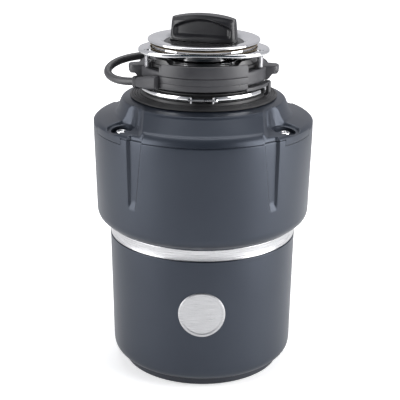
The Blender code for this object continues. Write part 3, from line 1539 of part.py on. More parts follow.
def stopper_grip(seat):
    """An arched bar with round ends, narrower at the top, and a scoop in each long side."""
    mesh = bpy.data.meshes.new("stopper_grip")
    solid = bmesh.new()
    around_count = 24
    levels = (
        (0.0, 1.0, 1.0),
        (0.18, 1.0, 0.98),
        (0.5, 0.975, 0.9),
        (0.8, 0.94, 0.8),
        (0.95, 0.88, 0.68),
        (1.0, 0.78, 0.52),
    )
    low = seat + GAP
    height = GRIP_TOP_Z - low
    rings = []
    for rise, long_share, wide_share in levels:
        ring = []
        for i in range(around_count):
            turn = 2 * math.pi * i / around_count
            across, along = math.cos(turn), math.sin(turn)
            power = 0.55
            x = GRIP_L / 2 * long_share * math.copysign(abs(across) ** power, across)
            y = GRIP_W / 2 * wide_share * math.copysign(abs(along) ** power, along)
            sag = 4.6 * MM * (x / (GRIP_L / 2)) ** 2 * rise * rise
            ring.append(solid.verts.new((x, y, low + height * rise - sag)))
        rings.append(ring)
    for here, there in zip(rings, rings[1:]):
        for i in range(around_count):
            k = (i + 1) % around_count
            solid.faces.new((here[i], here[k], there[k], there[i]))
    solid.faces.new(rings[0])
    bmesh.ops.triangulate(solid, faces=[solid.faces.new(rings[-1])])
    bmesh.ops.recalc_face_normals(solid, faces=solid.faces[:])
    solid.to_mesh(mesh)
    solid.free()
    grip = add("stopper_grip", mesh, (BLACK, 0.35))
    grip.rotation_euler = (0.0, 0.0, -math.radians(GRIP_TURN_DEG))
    for number, side in enumerate((-1.0, 1.0)):
        scoop = bpy.data.meshes.new(f"cut_scoop_{number}")
        ball = bmesh.new()
        bmesh.ops.create_uvsphere(ball, u_segments=16, v_segments=10, radius=1.0)
        bmesh.ops.scale(ball, vec=(GRIP_L * 0.43, 7.0 * MM, 12.0 * MM), verts=ball.verts[:])
        ball.to_mesh(scoop)
        ball.free()
        cutter = add(f"cut_scoop_{number}", scoop)
        turn = -math.radians(GRIP_TURN_DEG)
        cutter.rotation_euler = (0.0, 0.0, turn)
        reach = side * (GRIP_W / 2 + 1.6 * MM)
        cutter.location = (-math.sin(turn) * reach, math.cos(turn) * reach, low + 9.0 * MM)
        cut(grip, cutter)


def main():
    clear_scene()
    base_pan()
    lower_shell()
    trim_band()
    upper_shell()
    cover = top_cover()
    cover_bolts()
    grind_chamber()
    insulation()
    shredder_ring()
    turning_parts()
    swivel_lugs()
    end_bells()
    through_bolts()
    stator()
    electrical_parts()
    wiring_parts()
    mounting_gasket()
    band_clamp()
    lower_mounting_ring()
    lock_ramps()
    switch_bracket()
    cable_boot()
    cable_end, along = switch_cable()
    cable_gland(cover, cable_end, along)
    upper_mounting_ring(sink_flange() - GAP)
    stopper()


main()
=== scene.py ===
"""Finished look of the garbage disposal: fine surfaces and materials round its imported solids."""

import math

import bmesh
import bpy
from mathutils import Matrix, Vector


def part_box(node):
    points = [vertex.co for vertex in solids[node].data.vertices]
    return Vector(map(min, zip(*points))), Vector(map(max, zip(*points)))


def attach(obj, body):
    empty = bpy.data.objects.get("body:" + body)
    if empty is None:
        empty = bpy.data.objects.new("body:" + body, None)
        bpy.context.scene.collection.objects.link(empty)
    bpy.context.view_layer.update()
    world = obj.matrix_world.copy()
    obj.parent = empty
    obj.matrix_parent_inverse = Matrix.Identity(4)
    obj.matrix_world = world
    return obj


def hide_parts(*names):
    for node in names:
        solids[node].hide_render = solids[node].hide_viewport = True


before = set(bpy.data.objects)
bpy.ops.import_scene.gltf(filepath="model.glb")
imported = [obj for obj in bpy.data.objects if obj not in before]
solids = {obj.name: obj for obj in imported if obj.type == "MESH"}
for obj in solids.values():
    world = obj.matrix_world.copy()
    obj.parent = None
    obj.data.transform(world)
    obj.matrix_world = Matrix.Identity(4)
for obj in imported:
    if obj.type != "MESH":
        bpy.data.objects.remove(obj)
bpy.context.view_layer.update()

MM = 0.001
HOUSING = "housing"


def low(node):
    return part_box(node)[0]


def high(node):
    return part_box(node)[1]


def centre(node):
    return [(a + b) / 2 for a, b in zip(*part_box(node))]


# Sizes read from the solids
SHELL_R = high("upper_shell")[0]
SHELL_TOP = high("upper_shell")[2]
SHELL_FOOT = low("upper_shell")[2]
SEAM = SHELL_TOP + 0.3 * MM
PLATEAU = SEAM + 23.3 * MM
NECK_TOP = high("grind_chamber")[2]
LOWER_R = high("lower_shell")[0]
LOWER_FOOT = low("lower_shell")[2]
BAND_LOW = low("trim_band")[2]
BAND_TOP = high("trim_band")[2]
BAND_R = high("trim_band")[0]
BASE_R = high("base_pan")[0]
CLAMP_LOW = low("band_clamp")[2]
CLAMP_TOP = high("band_clamp")[2]
HOUSING_TOP = high("switch_housing")[2]
FLANGE_TOP = high("sink_flange")[2]
FLANGE_R = high("sink_flange")[0]
PLATE_TOP = high("upper_mounting_ring")[2]
DISC_TOP = high("stopper_disc")[2]

# Places round the body, in degrees from the front
FLUTE_TOP_DEG = (31.4, 41.0)
FLUTE_FOOT_DEG = (35.8, 41.2)
FLUTE_FOOT_Z = SHELL_TOP - 66.5 * MM
FLUTE_DEPTH = 3.4 * MM
BOSS_DEG = 54.5
BOSS_R = SHELL_R - 14.7 * MM
TAB_DEG = 57.3
TAB_HALF_DEG = 12.1
BLOCK_HALF_W = 60.0 * MM
PAD_R = 14.2 * MM
PAD_Z = SHELL_TOP + 3.2 * MM
WELL_R = 11.0 * MM
WELL_FLOOR = PAD_Z - 4.4 * MM
GRIP_TURN_DEG = 17.0
COVER_HOLE_R = 67.0 * MM
OUTLET_HOLE_GAP = 2.1 * MM
INLET_HOLE_R = 12.3 * MM
RESET_HOLE_R = 5.0 * MM
BUSHING_HOLE_R = 9.0 * MM

# Sink mounting
HOUSING_R = 70.0 * MM
HOUSING_HALF_DEG = 38.4
GASKET_THROAT_R = 43.5 * MM
THROAT_R = 40.5 * MM
OUTLET_BORE_R = 19.1 * MM
PLATE_BORE_R = 43.3 * MM
CORNER_ORBIT_R = 31.0 * MM
CORNER_R = 39.0 * MM
EAR_DEGS = (-79.0, 79.0, 180.0)
RAMP_DEGS = (-45.0, 45.0, 180.0)
SCREW_DEGS = (-60.0, 60.0, 180.0)
SCREW_ORBIT_R = 64.0 * MM
SCREW_R = 3.38 * MM
SCREW_HOLE_R = 3.7 * MM
CABLE_R = 4.0 * MM


# ---------------------------------------------------------------- mesh helpers


def around(radius, degrees, z=0.0):
    """The point at this radius and at this angle from the front, towards +X."""
    turn = math.radians(degrees)
    return Vector((radius * math.sin(turn), -radius * math.cos(turn), z))


def corners(degrees):
    """The same place on all four corners, in degrees from the front."""
    return degrees, -degrees, 180.0 + degrees, 180.0 - degrees


def smoothstep(value):
    value = min(1.0, max(0.0, value))
    return value * value * (3.0 - 2.0 * value)


def between(points, where):
    """Height of a broken line of (place, height) points at one place."""
    if where <= points[0][0]:
        return points[0][1]
    for (a, za), (b, zb) in zip(points, points[1:]):
        if where <= b:
            return za + (zb - za) * (where - a) / (b - a)
    return points[-1][1]


def added(name, data):
    """A new object in the scene, at the origin."""
    made = bpy.data.objects.new(name, data)
    bpy.context.scene.collection.objects.link(made)
    return made


def finish_mesh(solid, name, finish, smooth_deg=40.0):
    """The finished piece of a bmesh: normals out, and smooth but for its edges."""
    bmesh.ops.remove_doubles(solid, verts=solid.verts[:], dist=0.000002)
    bmesh.ops.recalc_face_normals(solid, faces=solid.faces[:])
    mesh = bpy.data.meshes.new(name)
    solid.to_mesh(mesh)
    solid.free()
    mesh.shade_smooth()
    mesh.set_sharp_from_angle(angle=math.radians(smooth_deg))
    mesh.materials.append(finish)
    return added(name, mesh)


def rounded(points, parts=4):
    """An outline of (r, z, corner radius) points, its corners turned into arcs."""
    line = []
    count = len(points)
    for i, (r, z, radius) in enumerate(points):
        here = Vector((r, z))
        if radius <= 0.0:
            line.append((r, z))
            continue
        before = Vector(points[i - 1][:2]) - here
        after = Vector(points[(i + 1) % count][:2]) - here
        reach = min(radius, before.length * 0.48, after.length * 0.48)
        start, end = here + before.normalized() * reach, here + after.normalized() * reach
        for step in range(parts + 1):
            t = step / parts
            spot = start * (1 - t) ** 2 + here * 2 * t * (1 - t) + end * t * t
            line.append((spot.x, spot.y))
    return line


def bridge(solid, rings):
    """Quads between neighbouring rings of vertices."""
    for here, there in zip(rings, rings[1:]):
        for i in range(len(here)):
            k = (i + 1) % len(here)
            solid.faces.new((here[i], here[k], there[k], there[i]))


def cap(solid, rings):
    """A face over each end."""
    solid.faces.new(rings[0])
    solid.faces.new(rings[-1])


def swept(name, section_at, finish, steps, smooth_deg=40.0, start=0.0, sweep=360.0, spot=(0.0, 0.0)):
    """A section of (r, z) points that follows the angle round Z: all the way, or with closed ends."""
    solid = bmesh.new()
    whole = sweep >= 360.0
    rings = []
    for i in range(steps if whole else steps + 1):
        degrees = start + sweep * i / steps
        ring = []
        for r, z in section_at(degrees):
            place_here = around(r, degrees, z)
            ring.append(solid.verts.new((place_here.x + spot[0], place_here.y + spot[1], z)))
        rings.append(ring)
    if whole:
        rings.append(rings[0])
    bridge(solid, rings)
    if not whole:
        cap(solid, rings)
    return finish_mesh(solid, name, finish, smooth_deg)


def lathe(name, outline, finish, steps=144, start=0.0, sweep=360.0, spot=(0.0, 0.0)):
    """The same outline of (r, z) points all round Z, or round a part of it."""
    return swept(name, lambda degrees: outline, finish, steps, 40.0, start, sweep, spot)


def loft(name, sections, finish, smooth_deg=40.0):
    """A skin over closed sections with the same number of points, capped at both ends."""
    solid = bmesh.new()
    rings = [[solid.verts.new(place) for place in section] for section in sections]
    bridge(solid, rings)
    cap(solid, rings)
    return finish_mesh(solid, name, finish, smooth_deg)


def superellipse(half_x, half_y, power, count):
    """Points round a rounded box section: power 2 is an ellipse, and a larger one is squarer."""
    points = []
    for i in range(count):
        turn = 2 * math.pi * i / count
        c, s = math.cos(turn), math.sin(turn)
        points.append(
            (
                half_x * math.copysign(abs(c) ** (2 / power), c),
                half_y * math.copysign(abs(s) ** (2 / power), s),
            )
        )
    return points


def joined(name, pieces):
    """One object out of several. The first one's name and materials come first."""
    solid = bmesh.new()
    slots = []
    for piece in pieces:
        part = bmesh.new()
        part.from_mesh(piece.data)
        own = piece.data.materials[0]
        if own not in slots:
            slots.append(own)
        for face in part.faces:
            face.material_index = slots.index(own)
        spare = bpy.data.meshes.new("spare")
        part.to_mesh(spare)
        part.free()
        solid.from_mesh(spare)
        bpy.data.meshes.remove(spare)
    mesh = bpy.data.meshes.new(name)
    solid.to_mesh(mesh)
    solid.free()
    mesh.set_sharp_from_angle(angle=math.radians(40.0))
    for own in slots:
        mesh.materials.append(own)
    for piece in pieces:
        bpy.data.objects.remove(piece, do_unlink=True)
    return added(name, mesh)


def place(piece, body, *nodes, slot=None):
    """The piece rides on its body and stands for these solids, which it hides. The slot is not used."""
    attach(piece, body)
    if nodes:
        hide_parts(*nodes)
    return piece


# ---------------------------------------------------------------- shader groups and materials


def group(name, inputs, outputs):
    """A new shader group with these (name, kind, value) inputs and (name, kind) outputs."""
    tree = bpy.data.node_groups.new(name, "ShaderNodeTree")
    for label, kind, value in inputs:
        socket = tree.interface.new_socket(label, in_out="INPUT", socket_type=f"NodeSocket{kind}")
        socket.default_value = value
    for label, kind in outputs:
        tree.interface.new_socket(label, in_out="OUTPUT", socket_type=f"NodeSocket{kind}")
    return tree, tree.nodes.new("NodeGroupInput"), tree.nodes.new("NodeGroupOutput")


def node(tree, kind, links=(), **settings):
    """A new node. Links are (input, socket) pairs, and a setting that isn't the node's own is an input."""
    made = tree.nodes.new(f"ShaderNode{kind}")
    for label, value in settings.items():
        if hasattr(made, label):
            setattr(made, label, value)
        else:
            made.inputs[label.replace("_", " ")].default_value = value
    for label, source in links:
        tree.links.new(source, made.inputs[label])
    return made


def moulded_grain_group():
    """Fine moulding grain, slow ripples and a smudge mask on Object coordinates."""
    tree, entry, out = group(
        "moulded grain",
        (("Grain Scale", "Float", 900.0), ("Ripple", "Float", 0.3), ("Smudge Scale", "Float", 18.0)),
        (("Height", "Float"), ("Smudge", "Float")),
    )
    coords = node(tree, "TexCoord").outputs["Object"]
    grain_scale, smudge_scale = entry.outputs["Grain Scale"], entry.outputs["Smudge Scale"]
    fine = node(tree, "TexNoise", (("Vector", coords), ("Scale", grain_scale)), Detail=3.0)
    slow = node(tree, "TexNoise", (("Vector", coords),), Scale=26.0, Detail=2.0)
    slow_share = ((0, slow.outputs["Fac"]), (1, entry.outputs["Ripple"]))
    ripple = node(tree, "Math", slow_share, operation="MULTIPLY")
    total = node(tree, "Math", ((0, fine.outputs["Fac"]), (1, ripple.outputs[0])), operation="ADD")
    smudge = node(tree, "TexNoise", (("Vector", coords), ("Scale", smudge_scale)), Detail=5.0)
    tree.links.new(total.outputs[0], out.inputs["Height"])
    tree.links.new(smudge.outputs["Fac"], out.inputs["Smudge"])
    return tree


def brushed_group():
    """Fine scratches that run round Z, or straight across it, on Object coordinates."""
    tree, entry, out = group(
        "brushed",
        (("Across", "Float", 4.0), ("Along", "Float", 1400.0), ("Turned", "Float", 1.0)),
        (("Height", "Float"), ("Streak", "Float")),
    )
    coords = node(tree, "TexCoord").outputs["Object"]
    parts = node(tree, "SeparateXYZ", (("Vector", coords),))
    angle = node(tree, "Math", ((0, parts.outputs["Y"]), (1, parts.outputs["X"])), operation="ARCTAN2")
    lanes = (("Factor", entry.outputs["Turned"]), ("A", parts.outputs["X"]), ("B", angle.outputs[0]))
    lane = node(tree, "Mix", lanes)
    across = node(tree, "Math", ((0, lane.outputs[0]), (1, entry.outputs["Across"])), operation="MULTIPLY")
    along = node(tree, "Math", ((0, parts.outputs["Z"]), (1, entry.outputs["Along"])), operation="MULTIPLY")
    vector = node(tree, "CombineXYZ", (("X", across.outputs[0]), ("Z", along.outputs[0])))
    streak = node(tree, "TexNoise", (("Vector", vector.outputs[0]),), Scale=1.0, Detail=4.0)
    tree.links.new(streak.outputs["Fac"], out.inputs["Height"])
    tree.links.new(streak.outputs["Fac"], out.inputs["Streak"])
    return tree


GRAIN = moulded_grain_group()
BRUSHED = brushed_group()


def use_group(tree, shared, values):
    """A shared group with these values of its inputs, in their order."""
    made = tree.nodes.new("ShaderNodeGroup")
    made.node_tree = shared
    for socket, value in zip(made.inputs, values):
        socket.default_value = value
    return made


def ramp(tree, source, low_value, high_value, kind="FLOAT"):
    """The mask brought between two values, or blended between two colours."""
    mixer = tree.nodes.new("ShaderNodeMix")
    mixer.data_type = "RGBA" if kind == "RGBA" else "FLOAT"
    sharpen = node(tree, "MapRange", (("Value", source),), From_Min=0.32, From_Max=0.68)
    tree.links.new(sharpen.outputs[0], mixer.inputs["Factor"])
    first, second = (6, 7) if kind == "RGBA" else (2, 3)
    mixer.inputs[first].default_value = low_value
    mixer.inputs[second].default_value = high_value
    return mixer.outputs[2 if kind == "RGBA" else 0]


def material(
    name, dark, light, rough, metallic=0.0, bump=0.0, pattern=(900.0, 0.3, 18.0), shared=GRAIN, coat=0.0,
    specular=0.5,
):
    """A Principled finish: colour and roughness vary with the mask, and the height goes to a bump.

    The pattern is the shared group's inputs: grain, ripple and smudge, or across, along and turned.
    """
    made = bpy.data.materials.new(name)
    made.use_nodes = True
    tree = made.node_tree
    shader = tree.nodes["Principled BSDF"]
    effect = use_group(tree, shared, pattern)
    mask = effect.outputs[1]
    tree.links.new(ramp(tree, mask, (*dark, 1.0), (*light, 1.0), "RGBA"), shader.inputs["Base Color"])
    tree.links.new(ramp(tree, mask, rough[0], rough[1]), shader.inputs["Roughness"])
    shader.inputs["Metallic"].default_value = metallic
    shader.inputs["Coat Weight"].default_value = coat
    shader.inputs["Coat Roughness"].default_value = 0.25
    shader.inputs["Specular IOR Level"].default_value = specular
    if bump:
        relief = node(tree, "Bump", (("Height", effect.outputs[0]),), Strength=bump, Distance=0.0004)
        tree.links.new(relief.outputs[0], shader.inputs["Normal"])
    made.diffuse_color = (*light, 1.0)
    return made


slate = material("satin slate", (0.030, 0.037, 0.052), (0.037, 0.045, 0.061), (0.34, 0.42),
                 metallic=0.55, bump=0.05, pattern=(1500.0, 0.15, 9.0), coat=0.10)
slate_base = material("base slate", (0.022, 0.025, 0.034), (0.030, 0.034, 0.045), (0.45, 0.55),
                      metallic=0.1, bump=0.08, pattern=(1200.0, 0.3, 18.0))
brushed_steel = material("brushed band", (0.44, 0.44, 0.45), (0.66, 0.66, 0.67), (0.22, 0.36),
                         metallic=1.0, bump=0.10, pattern=(4.0, 1400.0, 1.0), shared=BRUSHED)
badge_steel = material("brushed badge", (0.42, 0.42, 0.43), (0.62, 0.62, 0.63), (0.24, 0.38),
                       metallic=1.0, bump=0.10, pattern=(60.0, 2600.0, 0.0), shared=BRUSHED)
chrome = material("polished chrome", (0.74, 0.75, 0.76), (0.84, 0.84, 0.85), (0.05, 0.12),
                  metallic=1.0, bump=0.02, pattern=(300.0, 0.8, 30.0))
zinc = material("zinc plate", (0.46, 0.46, 0.47), (0.66, 0.66, 0.67), (0.22, 0.38),
                metallic=1.0, bump=0.08, pattern=(700.0, 0.3, 60.0))
rubber = material("black rubber", (0.008, 0.008, 0.009), (0.020, 0.020, 0.021), (0.38, 0.58),
                  bump=0.12, pattern=(1100.0, 0.3, 40.0))
black = material("black moulding", (0.006, 0.006, 0.007), (0.014, 0.014, 0.015), (0.22, 0.34),
                 bump=0.05, pattern=(1300.0, 0.3, 30.0), coat=0.2)
disc_black = material("disc moulding", (0.006, 0.006, 0.007), (0.012, 0.012, 0.013), (0.20, 0.30),
                      bump=0.04, pattern=(1300.0, 0.3, 30.0), specular=0.16)
grip_black = material("grip moulding", (0.010, 0.010, 0.012), (0.022, 0.022, 0.025), (0.30, 0.42),
                      bump=0.10, pattern=(1500.0, 0.3, 30.0))
grey = material("grey moulding", (0.032, 0.032, 0.036), (0.046, 0.046, 0.051), (0.34, 0.46),
                bump=0.10, pattern=(1400.0, 0.3, 30.0))
dark_grey = material("dark moulding", (0.020, 0.020, 0.022), (0.034, 0.034, 0.037), (0.36, 0.50),
                     bump=0.10, pattern=(1400.0, 0.3, 30.0))
jacket = material("cable jacket", (0.040, 0.040, 0.043), (0.060, 0.060, 0.064), (0.34, 0.46),
                  bump=0.06, pattern=(900.0, 0.3, 50.0))
stainless = material("ground stainless", (0.40, 0.40, 0.41), (0.62, 0.62, 0.63), (0.25, 0.42),
                     metallic=1.0, bump=0.15, pattern=(30.0, 900.0, 1.0), shared=BRUSHED)
casting = material("die casting", (0.30, 0.30, 0.31), (0.48, 0.48, 0.49), (0.42, 0.60),
                   metallic=1.0, bump=0.35, pattern=(500.0, 0.3, 50.0))
lamination = material("lamination steel", (0.08, 0.08, 0.085), (0.22, 0.22, 0.23), (0.35, 0.55),
                      metallic=0.9, bump=0.4, pattern=(0.5, 2400.0, 1.0), shared=BRUSHED)
copper = material("enamelled copper", (0.28, 0.09, 0.03), (0.50, 0.20, 0.08), (0.25, 0.40),
                  metallic=0.8, bump=0.5, pattern=(1.0, 1800.0, 1.0), shared=BRUSHED)
foam = material("foam insulation", (0.52, 0.50, 0.46), (0.70, 0.68, 0.63), (0.85, 0.95),
                bump=0.8, pattern=(420.0, 0.8, 25.0))
fibre = material("pressed fibre", (0.10, 0.08, 0.05), (0.17, 0.13, 0.09), (0.75, 0.9),
                 bump=0.5, pattern=(650.0, 0.3, 60.0))
red = material("red button", (0.40, 0.012, 0.012), (0.55, 0.02, 0.02), (0.28, 0.4), bump=0.05)


# ---------------------------------------------------------------- Geometry Nodes for what repeats


def ring_array_tree():
    """Copies of a mesh in turns round Z, made real."""
    tree = bpy.data.node_groups.new("array round an axis", "GeometryNodeTree")
    face = tree.interface
    inputs = (("Geometry", "Geometry"), ("Count", "Int"), ("Turn", "Float"), ("Material", "Material"))
    for label, kind in inputs:
        face.new_socket(label, in_out="INPUT", socket_type=f"NodeSocket{kind}")
    face.new_socket("Geometry", in_out="OUTPUT", socket_type="NodeSocketGeometry")
    entry, out = tree.nodes.new("NodeGroupInput"), tree.nodes.new("NodeGroupOutput")
    spots = tree.nodes.new("GeometryNodeMeshLine")
    spots.mode = "OFFSET"
    spots.inputs["Offset"].default_value = (0.0, 0.0, 0.0)
    copies = tree.nodes.new("GeometryNodeInstanceOnPoints")
    index = tree.nodes.new("GeometryNodeInputIndex")
    turn = tree.nodes.new("ShaderNodeMath")
    turn.operation = "MULTIPLY"
    facing = tree.nodes.new("ShaderNodeCombineXYZ")
    real = tree.nodes.new("GeometryNodeRealizeInstances")
    coat = tree.nodes.new("GeometryNodeSetMaterial")
    links = tree.links
    links.new(entry.outputs["Count"], spots.inputs["Count"])
    links.new(spots.outputs["Mesh"], copies.inputs["Points"])
    links.new(entry.outputs["Geometry"], copies.inputs["Instance"])
    links.new(index.outputs[0], turn.inputs[0])
    links.new(entry.outputs["Turn"], turn.inputs[1])
    links.new(turn.outputs[0], facing.inputs["Z"])
    links.new(facing.outputs[0], copies.inputs["Rotation"])
    links.new(copies.outputs[0], real.inputs[0])
    links.new(real.outputs[0], coat.inputs["Geometry"])
    links.new(entry.outputs["Material"], coat.inputs["Material"])
    links.new(coat.outputs[0], out.inputs["Geometry"])
    return tree


ARRAY = ring_array_tree()


def repeated(piece, count, turn_deg, finish):
    """The piece repeated round the body's axis as one plain mesh."""
    step = piece.modifiers.new("repeat", "NODES")
    step.node_group = ARRAY
    values = {"Count": count, "Turn": math.radians(turn_deg), "Material": finish}
    for item in ARRAY.interface.items_tree:
        if item.in_out == "INPUT" and item.name in values:
            step[item.identifier] = values[item.name]
    bpy.context.view_layer.update()
    evaluated = piece.evaluated_get(bpy.context.evaluated_depsgraph_get())
    mesh = bpy.data.meshes.new_from_object(evaluated)
    piece.modifiers.clear()
    mesh.name = piece.name
    mesh.set_sharp_from_angle(angle=math.radians(40.0))
    piece.data = mesh
    return piece


# ---------------------------------------------------------------- shells


def corner_angle(x, y):
    """The angle from the front or the back, whichever is nearer, the same on all four corners."""
    return math.degrees(math.atan2(abs(x), abs(y)))


def flute_depth(degrees, z, radius):
    """How deep the flute is at this place on the upper shell."""
    share = (SHELL_TOP - z) / (SHELL_TOP - FLUTE_FOOT_Z)
    inner = FLUTE_TOP_DEG[0] + (FLUTE_FOOT_DEG[0] - FLUTE_TOP_DEG[0]) * max(share, -0.15)
    outer = FLUTE_TOP_DEG[1] + (FLUTE_FOOT_DEG[1] - FLUTE_TOP_DEG[1]) * max(share, -0.15)
    to_arc = math.radians(1.0) * radius
    inside = min((degrees - inner) * to_arc, (outer - degrees) * to_arc)
    foot = (z - FLUTE_FOOT_Z) / (2.2 * MM)
    fade = 1.0 - 0.25 * max(share, 0.0)
    return FLUTE_DEPTH * smoothstep(inside / (2.2 * MM)) * smoothstep(foot) * fade


def upper_shell():
    wall = 2.3 * MM
    foot_r = LOWER_R + 1.5 * MM
    outline = [
        (SHELL_R - 0.8 * MM, SHELL_TOP, 0.0), (SHELL_R, SHELL_TOP - 0.9 * MM, 0.9 * MM),
        (SHELL_R, SHELL_TOP - 12.0 * MM, 6.0 * MM),
        (SHELL_R - 1.6 * MM, SHELL_TOP - 77.0 * MM, 20.0 * MM),
        (SHELL_R - 2.0 * MM, SHELL_FOOT + 13.5 * MM, 2.0 * MM),
        (SHELL_R - 3.4 * MM, SHELL_FOOT + 9.0 * MM, 3.0 * MM),
        (SHELL_R - 7.2 * MM, SHELL_FOOT + 5.0 * MM, 3.0 * MM),
        (foot_r + 0.6 * MM, SHELL_FOOT + 1.3 * MM, 1.0 * MM), (foot_r, SHELL_FOOT, 0.6 * MM),
        (foot_r - 2.6 * MM, SHELL_FOOT, 0.0), (foot_r - 2.6 * MM, SHELL_FOOT + 3.2 * MM, 0.0),
        (SHELL_R - 8.6 * MM, SHELL_FOOT + 8.0 * MM, 1.0 * MM),
        (SHELL_R - 2.0 * MM - wall, SHELL_FOOT + 15.0 * MM, 1.0 * MM),
        (SHELL_R - wall - 0.4 * MM, SHELL_TOP - 12.0 * MM, 0.0), (SHELL_R - wall, SHELL_TOP, 0.0),
    ]
    profile = rounded(outline, 5)
    fine = []
    for (ra, za), (rb, zb) in zip(profile, profile[1:] + profile[:1]):
        fine.append((ra, za))
        parts = int(abs(zb - za) / (4.0 * MM))
        for i in range(1, parts):
            fine.append((ra + (rb - ra) * i / parts, za + (zb - za) * i / parts))

    def section_at(degrees):
        side = corner_angle(*around(1.0, degrees)[:2])
        return [(r - flute_depth(side, z, r), z) for r, z in fine]

    shell = swept("upper_shell_fine", section_at, slate, 720, 60.0)
    notches = []
    for n, degrees in enumerate(corners(TAB_DEG)):
        foot = SHELL_TOP - 6.1 * MM
        outline = [
            (SHELL_R + 6.0 * MM, SHELL_TOP + 5.0 * MM), (SHELL_R + 6.0 * MM, foot),
            (SHELL_R - 9.0 * MM, foot), (SHELL_R - 9.0 * MM, SHELL_TOP + 5.0 * MM),
        ]
        half = TAB_HALF_DEG + 0.15
        notches.append(lathe(f"notch_{n}", outline, slate, 24, degrees - half, 2 * half))
    middle = centre("discharge_seal")[2]
    hole_r = high("discharge_seal")[2] - middle + OUTLET_HOLE_GAP
    outlet_way = (0, 90 * MM, middle), (0, 130 * MM, middle)
    notches.append(round_bar("outlet_hole", *outlet_way, hole_r, slate, 64))
    x, y, height = centre("dishwasher_inlet_plug")
    way = Vector((x, y, 0.0)).normalized()
    start, end = way * 92 * MM, way * 130 * MM
    start.z = end.z = height
    notches.append(round_bar("inlet_hole", start, end, INLET_HOLE_R, slate, 40))
    cut_away(shell, notches)
    return shell


def round_bar(name, start, end, radius, finish, sides=32):
    """A plain bar between two points."""
    start, end = Vector(start), Vector(end)
    facing = (end - start).to_track_quat("Z", "Y")
    sections = []
    circle = superellipse(radius, radius, 2.0, sides)
    for spot in (start, end):
        sections.append([spot + facing @ Vector((x, y, 0.0)) for x, y in circle])
    return loft(name, sections, finish)


def cut_away(piece, tools):
    """The tools taken out of the piece, and then removed."""
    for tool in tools:
        step = piece.modifiers.new("cut", "BOOLEAN")
        step.object = tool
        step.operation = "DIFFERENCE"
        step.solver = "EXACT"
        step.material_mode = "INDEX"
    bpy.context.view_layer.update()
    evaluated = piece.evaluated_get(bpy.context.evaluated_depsgraph_get())
    mesh = bpy.data.meshes.new_from_object(evaluated)
    piece.modifiers.clear()
    piece.data = mesh
    mesh.set_sharp_from_angle(angle=math.radians(45.0))
    for tool in tools:
        bpy.data.objects.remove(tool, do_unlink=True)


# Heights of the cover from its hole to its rim: on the ledge, and over the raised blocks
LEDGE = (
    (COVER_HOLE_R, PLATEAU + 2.6 * MM), (74.0 * MM, PLATEAU + 2.0 * MM), (SHELL_R - 28.7 * MM, PLATEAU),
    (SHELL_R - 24.2 * MM, SEAM + 9.2 * MM), (SHELL_R - 22.2 * MM, SEAM + 7.4 * MM),
    (SHELL_R - 3.2 * MM, SEAM + 3.5 * MM), (SHELL_R - 0.8 * MM, SEAM + 1.9 * MM),
    (SHELL_R, SEAM + 0.5 * MM),
)
BLOCK = (
    (COVER_HOLE_R, PLATEAU + 2.6 * MM), (74.0 * MM, PLATEAU + 2.0 * MM),
    (SHELL_R - 26.4 * MM, PLATEAU + 0.1 * MM), (SHELL_R - 25.6 * MM, PLATEAU - 1.3 * MM),
    (SHELL_R - 8.2 * MM, SEAM + 8.8 * MM), (SHELL_R - 6.0 * MM, SEAM + 8.3 * MM),
    (SHELL_R - 2.8 * MM, SEAM + 5.7 * MM), (SHELL_R - 0.7 * MM, SEAM + 2.8 * MM),
    (SHELL_R, SEAM + 0.5 * MM),
)


def softened(points, radius, reach):
    """The broken line with its corners rounded over this reach."""
    shares = (-1.0, -0.5, 0.0, 0.5, 1.0)
    edge = min(reach, SHELL_R - radius)
    return sum(between(points, radius + edge * share) for share in shares) / len(shares)


def cover_height(radius, degrees):
    """Height of the top cover: a low ledge, raised blocks in front and behind, and the bolt pads."""
    place_here = around(radius, degrees)
    x, y = abs(place_here.x), abs(place_here.y)
    ledge = softened(LEDGE, radius, 1.6 * MM)
    block_top = softened(BLOCK, radius, 1.0 * MM)
    block_share = 1.0 - smoothstep((x - BLOCK_HALF_W + 2.2 * MM) / (5.0 * MM))
    z = ledge + (block_top - ledge) * block_share
    boss = around(BOSS_R, BOSS_DEG)
    away = math.hypot(x - abs(boss.x), y - abs(boss.y))
    pad = PAD_Z - 0.16 * (radius - BOSS_R)
    pad_share = 1.0 - smoothstep((away - PAD_R + 1.6 * MM) / (4.2 * MM))
    z += (min(z, pad) - z) * pad_share
    flute = flute_depth(corner_angle(place_here.x, place_here.y), SEAM + 2.0 * MM, SHELL_R)
    rim = smoothstep((radius - SHELL_R + 7.5 * MM) / (5.0 * MM))
    z -= 0.75 * flute * rim * (1.0 if x < abs(boss.x) else 0.4)
    return max(z, SEAM + 0.45 * MM)


